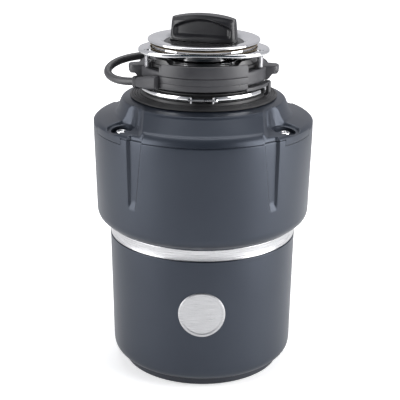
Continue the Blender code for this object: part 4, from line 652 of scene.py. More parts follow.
def top_cover():
    radii = [COVER_HOLE_R + (SHELL_R - COVER_HOLE_R) * i / 96 for i in range(97)]
    radii[-1] = SHELL_R
    under = [
        (SHELL_R - 0.4 * MM, SEAM), (SHELL_R - 4.0 * MM, SEAM), (SHELL_R - 5.0 * MM, SEAM - 2.2 * MM),
        (SHELL_R - 25.5 * MM, SEAM - 2.4 * MM), (SHELL_R - 31.0 * MM, PLATEAU - 2.6 * MM),
        (COVER_HOLE_R, PLATEAU - 0.2 * MM),
    ]

    def section_at(degrees):
        """The top and the underside at this angle, drawn in at the rim where a flute runs out."""
        flute = flute_depth(corner_angle(*around(1.0, degrees)[:2]), SEAM, SHELL_R)
        section = []
        for radius, z in [(r, cover_height(r, degrees)) for r in radii] + under:
            shrink = flute * smoothstep((radius - SHELL_R + 6.0 * MM) / (6.0 * MM))
            section.append((radius - shrink * 0.9, z))
        return section

    cover = swept("top_cover_body", section_at, slate, 720, 60.0)
    wells = []
    for n, degrees in enumerate(corners(BOSS_DEG)):
        spot = around(BOSS_R, degrees)
        start, end = (spot.x, spot.y, WELL_FLOOR - 3.0 * MM), (spot.x, spot.y, PLATEAU)
        wells.append(round_bar(f"well_{n}", start, end, WELL_R, slate, 56))
    cut_away(cover, wells)
    tabs = []
    foot = SHELL_TOP - 5.9 * MM
    tab_outline = rounded(
        [
            (SHELL_R, SEAM + 0.9 * MM, 0.0), (SHELL_R, foot, 0.6 * MM), (SHELL_R - 2.4 * MM, foot, 0.0),
            (SHELL_R - 2.4 * MM, SEAM + 0.9 * MM, 0.0),
        ]
    )
    cup = rounded(
        [
            (WELL_R + 1.5 * MM, SEAM - 0.2 * MM, 0.0),
            (WELL_R + 1.5 * MM, WELL_FLOOR - 2.0 * MM, 0.8 * MM), (2.9 * MM, WELL_FLOOR - 2.0 * MM, 0.0),
            (2.9 * MM, WELL_FLOOR, 0.0), (WELL_R, WELL_FLOOR, 0.8 * MM), (WELL_R, SEAM - 0.2 * MM, 0.0),
        ]
    )
    for n, degrees in enumerate(corners(TAB_DEG)):
        tabs.append(lathe(f"tab_{n}", tab_outline, slate, 30, degrees - TAB_HALF_DEG, 2 * TAB_HALF_DEG))
    for n, degrees in enumerate(corners(BOSS_DEG)):
        spot = around(BOSS_R, degrees)
        tabs.append(lathe(f"cup_{n}", cup, slate, 40, spot=(spot.x, spot.y)))
    return joined("top_cover_fine", [cover, *tabs])


def cover_bolts():
    """Bright cap bolts with a hex socket in their wells."""
    head_top = high("cover_bolt_1")[2]
    shank_low = low("cover_bolt_1")[2]
    head_low = WELL_FLOOR + 0.3 * MM
    outline = [
        (3.0 * MM, head_top - 2.2 * MM, 0.0), (3.1 * MM, head_top - 0.3 * MM, 0.3 * MM),
        (4.3 * MM, head_top, 0.8 * MM), (5.8 * MM, head_top - 0.9 * MM, 0.9 * MM),
        (5.8 * MM, head_low, 0.3 * MM), (2.6 * MM, head_low, 0.0), (2.6 * MM, shank_low, 0.5 * MM),
        (0.02 * MM, shank_low, 0.0), (0.02 * MM, head_top - 2.2 * MM, 0.0),
    ]
    for side, degrees, numbers in (("left", -BOSS_DEG, (1, 3)), ("right", BOSS_DEG, (2, 4))):
        spot = around(BOSS_R, degrees)
        bolt = lathe(f"cover_bolts_{side}", rounded(outline), chrome, 40, spot=(spot.x, spot.y))
        pair = [f"cover_bolt_{number}" for number in numbers]
        place(repeated(bolt, 2, 180.0, chrome), HOUSING, *pair, slot="chrome_fittings")


def lower_shell():
    neck_r = BAND_R - 1.6 * MM
    foot_r = BASE_R - 2.2 * MM
    outline = [
        (neck_r, BAND_TOP + 1.2 * MM, 0.0), (neck_r, BAND_LOW - 0.3 * MM, 0.0),
        (LOWER_R, BAND_LOW - 0.3 * MM, 0.7 * MM), (LOWER_R - 1.9 * MM, LOWER_FOOT + 12.0 * MM, 8.0 * MM),
        (LOWER_R - 2.6 * MM, LOWER_FOOT + 7.2 * MM, 4.0 * MM),
        (LOWER_R - 5.2 * MM, LOWER_FOOT + 3.0 * MM, 3.0 * MM), (LOWER_R - 9.6 * MM, LOWER_FOOT, 1.6 * MM),
        (foot_r, LOWER_FOOT, 0.0), (foot_r, LOWER_FOOT + 2.2 * MM, 0.0),
        (LOWER_R - 9.0 * MM, LOWER_FOOT + 2.6 * MM, 1.0 * MM),
        (LOWER_R - 4.1 * MM, LOWER_FOOT + 12.0 * MM, 1.0 * MM),
        (LOWER_R - 2.4 * MM, BAND_LOW - 5.0 * MM, 0.0), (neck_r - 2.0 * MM, BAND_LOW - 2.0 * MM, 0.0),
        (neck_r - 2.0 * MM, BAND_TOP + 1.2 * MM, 0.0),
    ]
    return lathe("lower_shell_fine", rounded(outline, 6), slate, 240)


def trim_band():
    wall = 1.1 * MM
    edge = 0.35 * MM
    middle = []
    rise = BAND_TOP - BAND_LOW
    for share in (0.06, 0.09, 0.91, 0.94):
        groove = 0.12 * MM if share in (0.09, 0.91) else 0.0
        middle.append((BAND_R - groove, BAND_TOP - rise * share, 0.0))
    outline = [
        (BAND_R - edge, BAND_TOP, 0.0),
        *middle,
        (BAND_R - edge, BAND_LOW, 0.0), (BAND_R - wall, BAND_LOW, 0.0), (BAND_R - wall, BAND_TOP, 0.0),
    ]
    return lathe("trim_band_fine", rounded(outline), brushed_steel, 240)


def badge():
    """A plain disc on the lower shell's curve, with a raised rim and a turned ring inside it."""
    centre_z = centre("badge")[2]
    radius = high("badge")[2] - centre_z
    face = -low("badge")[1]
    back = face - 2.6 * MM
    heights = (
        (0.0, -0.55 * MM), (0.30, -0.55 * MM), (0.34, -0.75 * MM), (0.38, -0.55 * MM), (0.80, -0.45 * MM),
        (0.86, -0.45 * MM), (0.90, -0.02 * MM), (0.96, -0.02 * MM), (1.0, -0.5 * MM),
    )
    solid = bmesh.new()
    steps = 96
    rings = []
    for i in range(1, 41):
        share = i / 40
        depth = face + softened_badge(heights, share)
        rings.append(badge_ring(solid, depth, radius * share, centre_z, steps))
    rings.append(badge_ring(solid, back, radius, centre_z, steps))
    bridge(solid, rings)
    for ring, depth in ((rings[0], face - 0.55 * MM), (rings[-1], back)):
        middle = solid.verts.new((0.0, -depth, centre_z))
        for i in range(steps):
            solid.faces.new((ring[i], ring[(i + 1) % steps], middle))
    return finish_mesh(solid, "badge_fine", badge_steel)


def softened_badge(heights, share):
    return sum(between(heights, share + step) for step in (-0.012, 0.0, 0.012)) / 3


def badge_ring(solid, depth, radius, centre_z, steps):
    ring = []
    for i in range(steps):
        turn = 2 * math.pi * i / steps
        degrees = math.degrees(radius * math.cos(turn) / depth)
        ring.append(solid.verts.new(around(depth, degrees, centre_z + radius * math.sin(turn))))
    return ring


def base_pan():
    top = high("base_pan")[2]
    outline = [
        (BASE_R - 2.1 * MM, top, 0.4 * MM), (BASE_R - 2.1 * MM, LOWER_FOOT - 0.2 * MM, 0.0),
        (BASE_R, LOWER_FOOT - 0.4 * MM, 1.2 * MM), (BASE_R, 0.0, 1.4 * MM),
        (BASE_R - 6.0 * MM, 0.0, 0.6 * MM), (BASE_R - 6.6 * MM, 0.5 * MM, 0.3 * MM),
        (BASE_R - 8.4 * MM, 0.5 * MM, 0.3 * MM), (BASE_R - 9.0 * MM, 0.0, 0.6 * MM),
        (7.0 * MM, 0.0, 0.6 * MM), (7.0 * MM, 2.5 * MM, 0.6 * MM),
        (BASE_R - 4.6 * MM, 2.5 * MM, 1.0 * MM), (BASE_R - 4.6 * MM, top, 0.4 * MM),
    ]
    pan = lathe("base_pan_fine", rounded(outline), slate_base, 192)
    button, bushing = centre("reset_button")[:2], centre("wire_bushing")[:2]
    cover_low, cover_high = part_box("wiring_cover")
    tools = [
        round_bar("button_hole", (*button, -0.01), (*button, 0.01), RESET_HOLE_R, slate_base, 32),
        round_bar("bushing_hole", (*bushing, -0.01), (*bushing, 0.01), BUSHING_HOLE_R, slate_base, 40),
        box_between(
            "wiring_hole",
            (cover_low[0] + 3 * MM, cover_low[1] + 3 * MM, -0.01),
            (cover_high[0] - 3 * MM, cover_high[1] - 3 * MM, 0.01),
            slate_base,
        ),
    ]
    cut_away(pan, tools)
    return pan


def box_between(name, corner, opposite, finish):
    """A box between two corners."""
    solid = bmesh.new()
    bmesh.ops.create_cube(solid, size=1.0)
    size = Vector(opposite) - Vector(corner)
    middle = (Vector(opposite) + Vector(corner)) / 2
    for vertex in solid.verts:
        vertex.co = Vector((vertex.co.x * size.x, vertex.co.y * size.y, vertex.co.z * size.z)) + middle
    return finish_mesh(solid, name, finish)


# ---------------------------------------------------------------- sink mounting


def gasket():
    """The rubber collar, with concentric ribs round its foot."""
    foot = low("mounting_gasket")[2]
    top = high("mounting_gasket")[2]
    foot_r = high("mounting_gasket")[0]
    barrel = 59.6 * MM
    ribs = []
    count = 4
    first = 65.0 * MM
    pitch = (foot_r - first) / count
    for n in range(count):
        crest = first + pitch * (n + 0.35)
        valley = first + pitch * (n + 0.85)
        sink = (n + 1) * 0.22 * MM
        ribs.append((crest, foot + 3.0 * MM - sink, 1.2 * MM))
        ribs.append((valley, foot + 1.4 * MM - sink, 0.9 * MM))
    outline = [
        (barrel, top, 1.2 * MM), (barrel, top - 3.6 * MM, 0.8 * MM),
        (barrel - 1.4 * MM, top - 4.4 * MM, 0.6 * MM),
        (barrel - 1.4 * MM, CLAMP_TOP + 2.4 * MM, 0.8 * MM), (62.0 * MM, CLAMP_TOP + 1.6 * MM, 0.6 * MM),
        (62.0 * MM, CLAMP_TOP + 0.4 * MM, 0.0), (60.4 * MM, CLAMP_TOP + 0.4 * MM, 0.0),
        (60.4 * MM, CLAMP_LOW - 0.4 * MM, 0.0), (63.0 * MM, CLAMP_LOW - 0.4 * MM, 0.8 * MM),
        (64.0 * MM, foot + 2.0 * MM, 1.0 * MM),
        *ribs,
        (foot_r, foot + 0.6 * MM, 0.3 * MM), (foot_r, foot, 0.2 * MM), (57.6 * MM, foot, 0.0),
        (57.6 * MM, NECK_TOP + 0.3 * MM, 0.0), (GASKET_THROAT_R, NECK_TOP + 3.3 * MM, 1.0 * MM),
        (GASKET_THROAT_R, top, 0.8 * MM),
    ]
    return lathe("mounting_gasket_fine", rounded(outline), rubber, 192)


def band_clamp():
    """A rolled band with turned-out ends, its bolt across the gap."""
    outer = high("band_clamp")[0]
    inner = outer - 4.1 * MM
    lip = 0.9 * MM
    outline = rounded(
        [
            (inner + 0.4 * MM, CLAMP_TOP, 0.3 * MM), (outer - 1.0 * MM, CLAMP_TOP - 0.2 * MM, 0.9 * MM),
            (outer, CLAMP_TOP - 2.0 * MM, 1.4 * MM), (outer, CLAMP_LOW + 2.0 * MM, 1.4 * MM),
            (outer - 1.0 * MM, CLAMP_LOW + 0.2 * MM, 0.9 * MM), (inner + 0.4 * MM, CLAMP_LOW, 0.3 * MM),
            (inner, CLAMP_LOW + lip, 0.3 * MM), (outer - 2.2 * MM, CLAMP_LOW + 2.2 * MM, 0.8 * MM),
            (outer - 2.2 * MM, CLAMP_TOP - 2.2 * MM, 0.8 * MM), (inner, CLAMP_TOP - lip, 0.3 * MM),
        ],
        3,
    )
    start, end = 8.4, 349.5
    band = lathe("clamp_rolled", outline, chrome, 200, start, end - start)
    middle = (CLAMP_LOW + CLAMP_TOP) / 2
    ears = []
    for name, degrees, lean in (("left", -11.4, -1), ("right", 9.2, 1)):
        base = around(outer - 1.2 * MM, degrees, middle)
        tip = around(outer + 3.6 * MM, degrees - lean * 1.2, middle)
        tangent = around(1.0, degrees + 90.0)
        sections = []
        ring = superellipse(0.7 * MM, 3.1 * MM, 4.0, 20)
        for spot in (base, base.lerp(tip, 0.5), tip):
            sections.append([spot + tangent * x + Vector((0, 0, y)) for x, y in ring])
        ears.append(loft(f"clamp_ear_{name}", sections, chrome))
    return joined("band_clamp_fine", [band, *ears])


def clamp_bolt():
    """The bolt across the clamp's gap, with its domed end."""
    middle = centre("clamp_bolt")[2]
    outer = high("band_clamp")[0] + 3.0 * MM
    left, right = around(outer, -13.0, middle), around(outer, 9.5, middle)
    along = (right - left).normalized()
    rod_piece = round_bar("clamp_rod", left, right, 1.45 * MM, zinc, 20)
    head = ball_end("clamp_head", right - along * 0.4 * MM, along, 2.75 * MM, chrome)
    return joined("clamp_bolt_fine", [rod_piece, head])


def ball_end(name, base, along, radius, finish, length=3.6 * MM):
    """A short domed end on a bolt."""
    facing = along.to_track_quat("Z", "Y")
    sections = []
    for share, wide in ((0.0, 0.75), (0.1, 0.96), (0.35, 1.0), (0.65, 0.92), (0.88, 0.62), (1.0, 0.2)):
        circle = superellipse(radius * wide, radius * wide, 2.0, 24)
        centre = base + along * length * share
        sections.append([centre + facing @ Vector((x, y, 0.0)) for x, y in circle])
    return loft(name, sections, finish)


def apart(degrees, other):
    """The angle between two directions, up to half a turn."""
    return abs((degrees - other + 180.0) % 360.0 - 180.0)


def lower_mounting_ring():
    """The turning ring with its three lugs, each rising to a blunt end with upright ribs."""
    box_low, box_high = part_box("lower_mounting_ring")
    outer = 65.9 * MM
    inner = 60.2 * MM
    foot = box_low[2]
    top = foot + 14.0 * MM
    reach = box_high[1] - 0.2 * MM

    def section_at(degrees):
        share = max(1.0 - smoothstep((apart(degrees, ear) - 3.2) / 5.2) for ear in EAR_DEGS)
        out = outer + (reach - outer) * math.sqrt(share)
        lift = 0.5 * MM * share
        rib = 0.35 * MM * share * (0.5 + 0.5 * math.cos(degrees * 6.2))
        low_z = foot + (5.8 * MM) * smoothstep(share * 2.4)
        groove = 0.5 * MM * smoothstep(share * 3.0)
        edge_z = top - 2.6 * MM
        return [
            (inner, top), (outer - 1.6 * MM, top + lift * 0.3), (out - 2.4 * MM, top + lift),
            (out - 0.8 * MM, top + lift - 0.5 * MM), (out - rib * 0.5, top + lift - 1.6 * MM),
            (out - rib, edge_z - 1.2 * MM), (out - rib, low_z + 2.6 * MM),
            (out - rib - groove, low_z + 2.0 * MM), (out - rib, low_z + 1.4 * MM),
            (out - 0.9 * MM, low_z + 0.1 * MM), (max(outer - 3.0 * MM, inner), low_z),
            (outer - 3.2 * MM, foot), (outer - 3.4 * MM, top - 3.0 * MM), (inner, top - 3.0 * MM),
        ]

    return swept("lower_mounting_ring_fine", section_at, grey, 720, 38.0)


def lock_ramps():
    """The black locking ring with its three ramps."""
    box_low, box_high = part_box("lock_ramp_ring")
    outer = box_high[0]
    inner = 45.6 * MM
    foot = box_low[2]

    def section_at(degrees):
        rise = max(smoothstep((12.0 - apart(degrees, ramp_deg)) / 7.0) for ramp_deg in RAMP_DEGS)
        crest = foot + 1.5 * MM + (box_high[2] - foot - 1.5 * MM) * rise
        return [
            (inner, foot + 1.5 * MM), (outer - 9.4 * MM, foot + 1.6 * MM),
            (outer - 8.6 * MM, crest - 0.3 * MM), (outer - 7.6 * MM, crest), (outer - 1.2 * MM, crest),
            (outer - 0.3 * MM, crest - 0.5 * MM), (outer, foot + 1.0 * MM), (outer, foot), (inner, foot),
        ]

    return swept("lock_ramp_ring_fine", section_at, black, 360, 35.0)


def switch_housing():
    """The curved cover of the switch: its crown rounds over, and it stops in a clean vertical edge."""
    outer, half = HOUSING_R, HOUSING_HALF_DEG
    inner = outer - 1.95 * MM
    foot = low("switch_housing")[2]

    def section_at(degrees):
        edge = min(degrees + half, (half - degrees) * 1.6)
        left_drop = 2.6 * MM * (1.0 - smoothstep(edge / 3.2))
        right_drop = 1.0 * MM * (1.0 - smoothstep(edge / 2.0))
        crown = HOUSING_TOP - (left_drop if degrees < 0 else right_drop)
        return [
            (inner, crown - 0.6 * MM), (inner + 0.5 * MM, crown), (outer - 1.3 * MM, crown),
            (outer - 0.5 * MM, crown - 0.35 * MM), (outer, crown - 1.3 * MM), (outer, foot + 0.5 * MM),
            (outer - 0.4 * MM, foot), (inner, foot),
        ]

    return swept("switch_housing_fine", section_at, grey, 160, 38.0, -half, 2 * half)


def switch_bracket():
    """Lower housing with its parting line, the right arm under the lug, and the arm's hook."""
    outer = HOUSING_R
    split = low("switch_housing")[2] - 0.3 * MM
    foot = NECK_TOP - 3.0 * MM
    line = (foot + split) / 2 - 0.2 * MM
    cover_outline = rounded(
        [
            (outer, split, 0.3 * MM), (outer, line + 0.35 * MM, 0.2 * MM),
            (outer - 0.5 * MM, line, 0.1 * MM), (outer - 0.3 * MM, line - 0.35 * MM, 0.2 * MM),
            (outer - 0.3 * MM, foot, 1.2 * MM), (64.0 * MM, foot, 0.0),
            (64.0 * MM, NECK_TOP - 1.8 * MM, 0.0), (outer - 2.6 * MM, NECK_TOP - 1.8 * MM, 0.0),
            (outer - 2.6 * MM, split, 0.0),
        ],
        3,
    )
    half = HOUSING_HALF_DEG
    cover_piece = lathe("bracket_cover", cover_outline, grey, 120, -half, 2 * half)
    arm_outline = rounded(
        [
            (outer - 0.6 * MM, NECK_TOP - 1.7 * MM, 0.8 * MM),
            (outer - 0.6 * MM, NECK_TOP - 5.4 * MM, 0.8 * MM), (64.1 * MM, NECK_TOP - 5.4 * MM, 0.4 * MM),
            (64.1 * MM, NECK_TOP - 1.7 * MM, 0.4 * MM),
        ],
        3,
    )
    arm = lathe("bracket_arm", arm_outline, grey, 60, 37.6, 38.4)
    hook_low = low("switch_bracket")[2]
    hook = lathe(
        "bracket_hook",
        rounded(
            [
                (outer - 0.2 * MM, NECK_TOP - 3.0 * MM, 0.0), (outer, NECK_TOP - 13.0 * MM, 1.0 * MM),
                (outer - 1.6 * MM, hook_low + 0.2 * MM, 1.4 * MM),
                (outer - 5.2 * MM, hook_low + 0.4 * MM, 0.8 * MM),
                (outer - 4.8 * MM, hook_low + 2.4 * MM, 0.8 * MM),
                (outer - 2.8 * MM, NECK_TOP - 12.6 * MM, 1.2 * MM),
                (outer - 2.9 * MM, NECK_TOP - 3.0 * MM, 0.0),
            ],
            4,
        ),
        dark_grey,
        16,
        69.0,
        8.0,
    )
    # A thin black patch laid on the housing where the slot is: painted shade of the slot opening, not a cut.
    slot_shade_piece = lathe(
        "bracket_slot_shade",
        [
            (outer + 0.06 * MM, NECK_TOP + 3.2 * MM), (outer + 0.06 * MM, NECK_TOP + 1.4 * MM),
            (outer - 1.0 * MM, NECK_TOP + 1.4 * MM), (outer - 1.0 * MM, NECK_TOP + 3.2 * MM),
        ],
        black,
        6,
        29.6,
        1.6,
    )
    return joined("switch_bracket_fine", [cover_piece, arm, hook, slot_shade_piece])


# Switch cable, heights from the top of the neck, as the solid's
CABLE_ROUTE = (
    (-68.2, -23.6, -2.6), (-75.2, -19.4, -3.6), (-82.0, -14.8, -4.1), (-88.2, -9.2, -4.2),
    (-93.4, -3.0, -3.6), (-97.2, 3.6, -2.2), (-98.9, 10.6, -0.1), (-98.0, 17.4, 2.3), (-94.2, 23.4, 4.9),
    (-88.4, 28.2, 7.2), (-81.0, 32.6, 8.9), (-73.4, 37.2, 9.7), (-66.6, 43.2, 9.4), (-61.6, 50.6, 7.4),
    (-58.4, 58.2, 3.6), (-56.4, 65.2, -2.0), (-55.2, 70.4, -8.6), (-54.8, 72.0, -15.4),
)


def cable_points(parts=6):
    """Points along a Catmull-Rom curve through the route."""
    route = [Vector(p) * MM + Vector((0, 0, NECK_TOP)) for p in CABLE_ROUTE]
    ends = [2 * route[0] - route[1], *route, 2 * route[-1] - route[-2]]
    points = []
    for a, b, c, d in zip(ends, ends[1:], ends[2:], ends[3:]):
        for i in range(parts):
            t = i / parts
            square, cube = 2 * a - 5 * b + 4 * c - d, 3 * b - a - 3 * c + d
            points.append(0.5 * (2 * b + (c - a) * t + square * t * t + cube * t * t * t))
    points.append(route[-1])
    return points


def switch_cable():
    """The cable as a round tube, and the cord that it stands for."""
    points = cable_points()
    curve = bpy.data.curves.new("switch_cable_fine", "CURVE")
    curve.dimensions = "3D"
    spline = curve.splines.new("POLY")
    spline.points.add(len(points) - 1)
    for point, spot in zip(spline.points, points):
        point.co = (*spot, 1.0)
    curve.bevel_depth = CABLE_R
    curve.bevel_resolution = 8
    curve.use_fill_caps = True
    curve.materials.append(jacket)
    cable = added("switch_cable_fine", curve)
    place(cable, HOUSING, "switch_cable", slot="grey_cable")
    return points


def cable_boot():
    """The tapered cover of the cable's way out, bent round the ring, with two collars."""
    end = Vector(CABLE_ROUTE[0]) * MM + Vector((0, 0, NECK_TOP))
    end_deg = math.degrees(math.atan2(end.x, -end.y))
    start_deg = -38.9
    start_z = NECK_TOP + 3.5 * MM
    radius = Vector((end.x, end.y)).length
    levels = (
        (0.0, 4.0, 6.4), (0.01, 4.3, 6.7), (0.33, 4.3, 6.5), (0.66, 4.2, 5.5), (0.735, 4.2, 5.0),
        (0.745, 4.6, 6.0), (0.755, 5.0, 6.5), (0.79, 5.0, 6.5), (0.80, 4.6, 6.0), (0.81, 4.1, 4.7),
        (0.855, 4.1, 4.7), (0.865, 4.6, 5.7), (0.875, 4.9, 6.1), (0.91, 4.9, 6.1), (0.92, 4.5, 5.6),
    )
    sections = []
    for share, half_wide, half_high in levels:
        degrees = start_deg + (end_deg - start_deg) * share
        middle = around(radius, degrees, start_z + (end.z - start_z) * share)
        side = around(1.0, degrees)
        ring = superellipse(half_wide * 1.04 * MM, half_high * 1.02 * MM, 3.6, 40)
        sections.append([middle + side * x + Vector((0, 0, y)) for x, y in ring])
    return loft("cable_boot_fine", sections, grey, 30.0)


def cable_gland(points):
    """The stepped rubber gland round the cable's lower end."""
    end = points[-1]
    along = (points[-1] - points[-2]).normalized()
    facing = along.to_track_quat("Z", "Y")
    levels = (
        (0.3, 3.0), (0.3, 4.5), (1.2, 4.8), (1.8, 4.5), (2.4, 5.0), (3.0, 5.2), (3.6, 4.9), (4.2, 5.5),
        (5.4, 5.9), (6.2, 5.8), (6.3, 4.3), (17.0, 4.3),
    )
    sections = []
    for depth, radius in levels:
        circle = superellipse(radius * MM, radius * MM, 2.0, 32)
        sections.append([end + along * depth * MM + facing @ Vector((x, y, 0.0)) for x, y in circle])
    return loft("cable_gland_fine", sections, rubber)


# ---------------------------------------------------------------- flange and stopper


def sink_flange():
    under = FLANGE_TOP - 2.5 * MM
    throat = THROAT_R
    outline = [
        (FLANGE_R - 2.6 * MM, FLANGE_TOP, 1.6 * MM), (FLANGE_R, FLANGE_TOP - 0.7 * MM, 1.2 * MM),
        (FLANGE_R, under, 0.5 * MM), (throat + 3.6 * MM, under, 1.2 * MM),
        (throat, under - 3.4 * MM, 1.6 * MM),
        (throat, low("sink_flange")[2], 0.0),
        (throat - 1.6 * MM, low("sink_flange")[2], 0.0),
        (throat - 1.6 * MM, under - 4.0 * MM, 1.8 * MM), (throat + 2.1 * MM, under, 1.4 * MM),
        (throat + 4.6 * MM, FLANGE_TOP - 0.9 * MM, 2.0 * MM),
        (throat + 8.0 * MM, FLANGE_TOP - 0.1 * MM, 2.0 * MM),
    ]
    return lathe("sink_flange_fine", rounded(outline, 6), chrome, 192)


def plate_outline(shrink, per_corner=30):
    """The hull of three equal circles: a triangle with large round corners, one flat to the front."""
    points = []
    for degrees in (60.0, 180.0, 300.0):
        corner = around(CORNER_ORBIT_R, degrees)
        for i in range(per_corner + 1):
            turn = degrees - 60.0 + 120.0 * i / per_corner
            points.append(corner + around(CORNER_R - shrink, turn))
    return points


def upper_mounting_ring():
    """The pressed plate: its rounded edge turns down into a lip, and it has a bore and three screw holes."""
    foot = low("upper_mounting_ring")[2]
    top = PLATE_TOP
    wall = 1.5 * MM
    levels = (
        (1.8, top), (0.7, top - 0.25 * MM), (0.15, top - 1.0 * MM), (0.0, top - 2.0 * MM),
        (0.0, foot + 0.3 * MM), (0.3, foot), (1.3, foot), (1.6, foot + 0.3 * MM), (1.6, top - 2.6 * MM),
        (2.2, top - wall),
    )
    solid = bmesh.new()
    rings = []
    for shrink, z in levels:
        rings.append([solid.verts.new((p.x, p.y, z)) for p in plate_outline(shrink * MM)])
    inner_low, inner_high = [], []
    for vertex in rings[0]:
        way = Vector((vertex.co.x, vertex.co.y, 0)).normalized()
        inner_low.append(solid.verts.new(way * PLATE_BORE_R + Vector((0, 0, top - wall))))
        inner_high.append(solid.verts.new(way * PLATE_BORE_R + Vector((0, 0, top))))
    rings = [inner_high, *rings, inner_low, inner_high]
    bridge(solid, rings)
    plate = finish_mesh(solid, "upper_mounting_ring_fine", chrome, 35.0)
    holes = []
    for n, degrees in enumerate(SCREW_DEGS):
        spot = around(SCREW_ORBIT_R, degrees)
        start, end = (spot.x, spot.y, foot - 0.01), (spot.x, spot.y, top + 0.01)
        holes.append(round_bar(f"screw_hole_{n}", start, end, SCREW_HOLE_R, chrome, 32))
    cut_away(plate, holes)
    return plate


def mounting_screws():
    """Three screws with rolled threads, a third of a turn apart."""
    foot, top = low("mounting_screw_1")[2], high("mounting_screw_1")[2]
    spot = around(SCREW_ORBIT_R, SCREW_DEGS[0])
    pitch = 1.25 * MM
    parts = 6
    steps = 24
    rows = int((top - foot - 1.0 * MM) / pitch * parts)
    solid = bmesh.new()
    rings = []
    for row in range(rows + 1):
        z = foot + 0.5 * MM + pitch * row / parts
        ring = []
        for i in range(steps):
            turn = 2 * math.pi * i / steps
            wave = 0.5 + 0.5 * math.cos(2 * math.pi * row / parts - turn)
            radius = SCREW_R - 0.55 * MM * (1.0 - wave)
            x, y = radius * math.cos(turn), radius * math.sin(turn)
            ring.append(solid.verts.new((spot.x + x, spot.y + y, z)))
        rings.append(ring)
    bridge(solid, rings)
    cap(solid, rings)
    screw = repeated(finish_mesh(solid, "mounting_screws_fine", zinc, 60.0), 3, 120.0, zinc)
    nodes = [f"mounting_screw_{n + 1}" for n in range(3)]
    place(screw, HOUSING, *nodes, slot="zinc_fasteners")


def stopper_disc():
    top = DISC_TOP
    reach = high("stopper_disc")[0]
    under = low("stopper_disc")[2]
    outline = [
        (0.02 * MM, top - 0.4 * MM, 0.0), (reach - 7.0 * MM, top - 0.4 * MM, 0.5 * MM),
        (reach - 6.2 * MM, top, 0.5 * MM), (reach - 4.6 * MM, top, 0.5 * MM),
        (reach - 3.8 * MM, top - 0.9 * MM, 0.5 * MM), (reach, top - 0.9 * MM, 0.6 * MM),
        (reach - 2.8 * MM, under, 0.6 * MM), (0.02 * MM, under, 0.0),
    ]
    return lathe("stopper_disc_fine", rounded(outline), disc_black, 144)


def stopper_grip():
    """The bar grip: arched crown, round blunt ends, and a long scoop in each side under a rim."""
    box_low, box_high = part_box("stopper_grip")
    seat = box_low[2]
    height = box_high[2] - seat
    half_l, half_w = 34.8 * MM, 12.4 * MM
    turn = -math.radians(GRIP_TURN_DEG)
    solid = bmesh.new()
    columns, rows = 128, 44
    rings = []
    for row in range(rows + 1):
        rise = row / rows
        ring = []
        lean = 1.0 - 0.05 * rise
        for i in range(columns):
            around_turn = 2 * math.pi * i / columns
            c, s = math.cos(around_turn), math.sin(around_turn)
            x = half_l * lean * math.copysign(abs(c) ** 0.62, c)
            y_share = math.copysign(abs(s) ** 0.62, s)
            crown = smoothstep((rise - 0.78) / 0.22)
            wide = half_w * (1.0 - 0.16 * rise - 0.30 * crown)
            scoop_end = smoothstep((0.90 - abs(x) / half_l) / 0.16)
            arch = 0.90 - 0.40 * (x / half_l) ** 2
            scoop_z = smoothstep((rise - 0.08) / 0.20) * smoothstep((arch - rise) / 0.16)
            inset = 5.4 * MM * scoop_end * scoop_z * abs(y_share)
            y = wide * y_share - math.copysign(inset, y_share)
            sag = 4.4 * MM * (x / half_l) ** 2 * rise * rise
            z = seat + height * rise - sag
            spot_x, spot_y = x * math.cos(turn) - y * math.sin(turn), x * math.sin(turn) + y * math.cos(turn)
            ring.append(solid.verts.new((spot_x, spot_y, z)))
        rings.append(ring)
    for share in (0.85, 0.6, 0.3):
        ring = []
        for vertex in rings[rows]:
            flat = Vector((vertex.co.x * share, vertex.co.y * share))
            along = (flat.x * math.cos(turn) + flat.y * math.sin(turn)) / half_l
            z = seat + height - 4.4 * MM * along * along + 0.25 * MM * (1.0 - share) - 0.25 * MM
            ring.append(solid.verts.new((flat.x, flat.y, min(z, box_high[2]))))
        rings.append(ring)
    bridge(solid, rings)
    cap(solid, rings)
    return finish_mesh(solid, "stopper_grip_fine", grip_black, 50.0)


# ---------------------------------------------------------------- outlet and inside


def outlet_seal():
    box_low, box_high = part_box("discharge_seal")
    middle = centre("discharge_seal")[2]
    outer = box_high[2] - middle
    solid = bmesh.new()
    face_low, face_high = box_low[1], box_high[1]
    outline = rounded(
        [
            (outer, face_low, 0.5 * MM), (outer, face_high, 0.5 * MM),
            (outer - 1.6 * MM, face_high, 0.2 * MM), (outer - 2.2 * MM, face_high - 0.5 * MM, 0.2 * MM),
            (outer - 2.8 * MM, face_high, 0.2 * MM), (OUTLET_BORE_R, face_high, 0.5 * MM),
            (OUTLET_BORE_R, face_low, 0.2 * MM),
        ],
        3,
    )
    steps = 96
    rings = []
    for i in range(steps):
        turn = 2 * math.pi * i / steps
        c, s = math.cos(turn), math.sin(turn)
        rings.append([solid.verts.new((r * c, y, middle + r * s)) for r, y in outline])
    rings.append(rings[0])
    bridge(solid, rings)
    return finish_mesh(solid, "discharge_seal_fine", rubber)


def dress_inside():
    """Finishes of the solids that stay as they are."""
    finishes = (
        (black, "grind_chamber capacitor overload_protector cover_sensor stopper_skirt"),
        (grey, "dishwasher_inlet_plug"),
        (foam, "sound_insulation"),
        (stainless, "shredder_ring turntable swivel_lug_1 swivel_lug_2 motor_shaft lower_bearing upper_bearing"),
        (zinc, "shaft_nut through_bolt_1 through_bolt_2 wiring_cover snap_ring stopper_magnet"),
        (rubber, "shaft_seal wire_bushing stopper_seal"),
        (casting, "lower_end_bell upper_end_bell"),
        (lamination, "stator_core rotor_core"),
        (copper, "upper_windings lower_windings"),
        (red, "reset_button"),
        (fibre, "fibre_gasket"),
        (chrome, "backup_flange"),
    )
    for finish, names in finishes:
        for name in names.split():
            mesh = solids[name].data
            mesh.materials.clear()
            mesh.materials.append(finish)


# ---------------------------------------------------------------- scene


